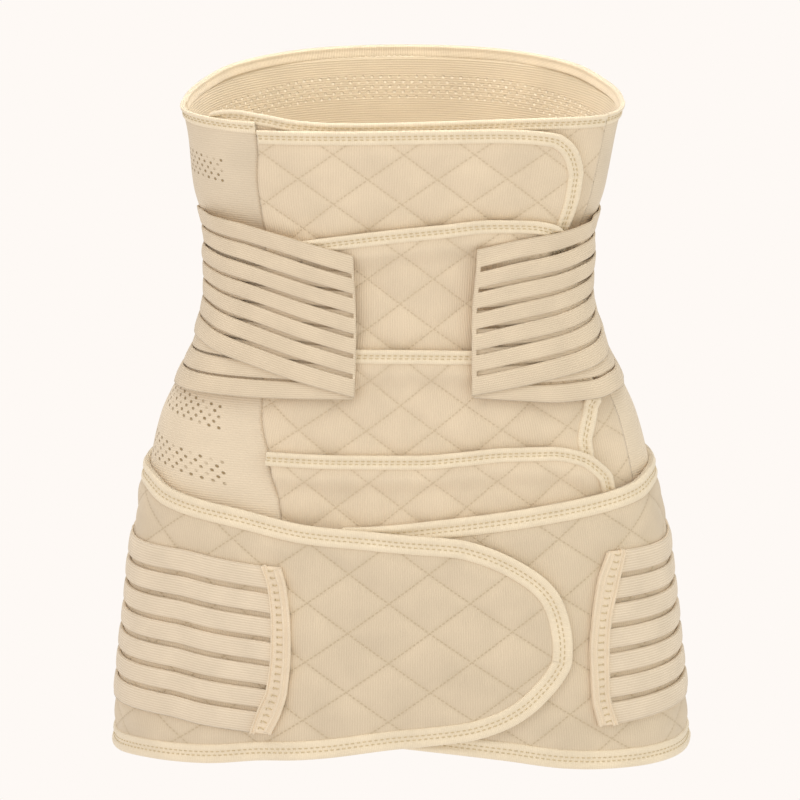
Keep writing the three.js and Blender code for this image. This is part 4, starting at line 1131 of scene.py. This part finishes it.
# %% Hip straps
def sewn_end(top, low, heights, sewn, sign):
    """The turn of the strips' end, which follows the tab and stays just under its edge."""
    middle = sewn[len(sewn) // 2]

    def turn_of(down):
        height = height_at(top, middle) * (1 - down) + height_at(low, middle) * down
        return smooth(height, heights, sewn) - 0.55 * sign

    return turn_of


for side, (top, low, end_rows, sign) in HIP_STRAPS.items():
    heights = height_of([r[0] for r in end_rows][::-1])
    free, sewn = [r[1] for r in end_rows][::-1], [r[2] for r in end_rows][::-1]
    far = sloping_end(top, low, 0 if sign < 0 else -1)
    ends = [far, sewn_end(top, low, heights, sewn, sign)][::-sign]
    free_end = np.linspace(0, 1, 130)[None, ::-sign]
    slit = HIP_SLIT + 0 * free_end
    net = strip_net(top, low, ends, 10, slit)
    turn, height = net[:2]
    keep, flat, bulge = strips(net, free_end, slit, HIP_MIDDLE, 0.75, 0.3, 11 + sign)
    level = hip_strap_level(wound(turn, sign))
    name, face = f"hip_elastic_{side}", level + HIP_ELASTIC - 0.5 + bulge
    piece = cloth(name, turn, height, level, face, flat, keep, hip_elastic)
    declare([f"hip_strap_{side}"])
    hook_tab(side, sign, end_rows, heights, free, sewn)

# %% [markdown]
# ## Stitches
# All the stitches that show as thread are made here in one mesh: short capsules laid along
# the lines kept above. A capsule of a few faces is enough, because one is under 3 mm long.

# %% Thread mesh
THREAD_SIDES = 5
SLICES = [(-0.5, 0.12), (-0.36, 0.36), (0.36, 0.36), (0.5, 0.12)]  # share of length, radius
corners = THREAD_SIDES * len(SLICES)
place, ahead, outward, size = (np.concatenate([s[k] for s in stitches]) for k in range(4))
ahead /= np.linalg.norm(ahead, axis=1)[:, None]
beside = np.cross(ahead, outward)
beside /= np.linalg.norm(beside, axis=1)[:, None]
points = []
for along, radius in SLICES:
    dip = -0.35 * (abs(along) > 0.4)  # a stitch dives into the cloth at both ends
    for a in np.radians(np.arange(THREAD_SIDES) * 72 + 18):
        spot = place + ahead * (size * along)[:, None] + beside * math.cos(a) * radius
        points.append(spot + outward * (math.sin(a) * radius + dip))
points = np.stack(points, 1).reshape(-1, 3)
quads = []
for start in range(0, corners - THREAD_SIDES, THREAD_SIDES):
    for j in range(THREAD_SIDES):
        k = (j + 1) % THREAD_SIDES
        quads.append([start + j, start + k, start + THREAD_SIDES + k, start + THREAD_SIDES + j])
caps = [[4, 3, 2, 1, 0], [15, 16, 17, 18, 19]]
base = (np.arange(len(place)) * corners)[:, None, None]
faces = [(np.array(kind)[None] + base).reshape(-1, len(kind[0])) for kind in (quads, caps)]
along_thread = np.repeat([0, 0.3, 2.1, 2.4], THREAD_SIDES)
round_thread = np.tile(np.arange(THREAD_SIDES) * 0.4, len(SLICES))
uv = np.tile(np.stack([along_thread, round_thread], -1), (len(place), 1))
seams = mesh_object("seam_stitches", points, faces, uv, thread)
print("stitches:", len(place))

# %% [markdown]
# ## Floor, light and camera
# The photograph is a studio cut-out: nearly white all round, light from everywhere, a
# little more of it from the upper left. A lit white sweep behind and below the binder
# stays the same warm white everywhere and takes no shadow, so here it is a plane that
# only gives off that white. Big soft lamps and a bright sky give the flat light, and a
# long lens from 4 m gives the photograph's near-parallel lines.

# %% Floor and light
FLOOR_HALF, FLOOR_HEIGHT = 25, -0.7
floor_material = bpy.data.materials.new("lit_white_sweep")
floor_material.use_nodes = True
floor_shader = floor_material.node_tree.nodes["Principled BSDF"]
floor_shader.inputs["Base Color"].default_value = linear("#000000")
floor_shader.inputs["Roughness"].default_value = 1.0
floor_shader.inputs["Specular IOR Level"].default_value = 0.0
floor_shader.inputs["Emission Color"].default_value = linear("#fef9f5")
floor_shader.inputs["Emission Strength"].default_value = 1.0
floor_mesh = bpy.data.meshes.new("floor")
corner_signs = ((-1, -1), (1, -1), (1, 1), (-1, 1))
floor_corners = [(x * FLOOR_HALF, y * FLOOR_HALF, FLOOR_HEIGHT) for x, y in corner_signs]
floor_mesh.from_pydata(floor_corners, [], [(0, 1, 2, 3)])
floor_mesh.materials.append(floor_material)
floor = bpy.data.objects.new("floor", floor_mesh)
bpy.context.collection.objects.link(floor)

world = bpy.context.scene.world or bpy.data.worlds.new("studio")
bpy.context.scene.world = world
world.use_nodes = True
sky = world.node_tree.nodes["Background"]
sky.inputs["Color"].default_value = linear("#fffaf5")
sky.inputs["Strength"].default_value = 0.68
bpy.context.scene.view_settings.view_transform = "Standard"

BINDER_MIDDLE = (0, 0, -0.1)


def lamp(name, place, size, power, colour):
    """A square softbox that faces the binder."""
    data = bpy.data.lights.new(name, "AREA")
    data.size, data.energy, data.color = size, power, linear(colour)[:3]
    box = bpy.data.objects.new(name, data)
    box.location = place
    x, y, z = np.array(place) - np.array(BINDER_MIDDLE)
    flat = math.hypot(x, y)
    box.rotation_euler = (math.atan2(flat, z), 0, math.atan2(x, -y) if flat else 0)
    bpy.context.collection.objects.link(box)


lamp("key_softbox", (-1.6, -2.4, 1.7), 1.6, 11, "#fff5ee")
lamp("fill_softbox", (2.6, -1.3, 0.5), 2.0, 7.5, "#e6f4e2")
lamp("top_softbox", (0.0, -1.2, 2.2), 1.6, 14, "#fffdf8")
lamp("inside_fill", (0.0, 0.0, 0.62), 0.3, 2.0, "#fffaf2")

# %% Camera
DISTANCE, ELEVATION, LENS = 4.0, math.radians(13.5), 282.0
target = np.array([0.0, 0.0, -0.084])
camera_data = bpy.data.cameras.new("camera")
camera_data.sensor_width, camera_data.lens = 36.0, LENS
camera_data.clip_end = 60
camera = bpy.data.objects.new("camera", camera_data)
camera.location = target + DISTANCE * np.array([0, -math.cos(ELEVATION), math.sin(ELEVATION)])
camera.rotation_euler = (math.pi / 2 - ELEVATION, 0, 0)
bpy.context.collection.objects.link(camera)
bpy.context.scene.camera = camera
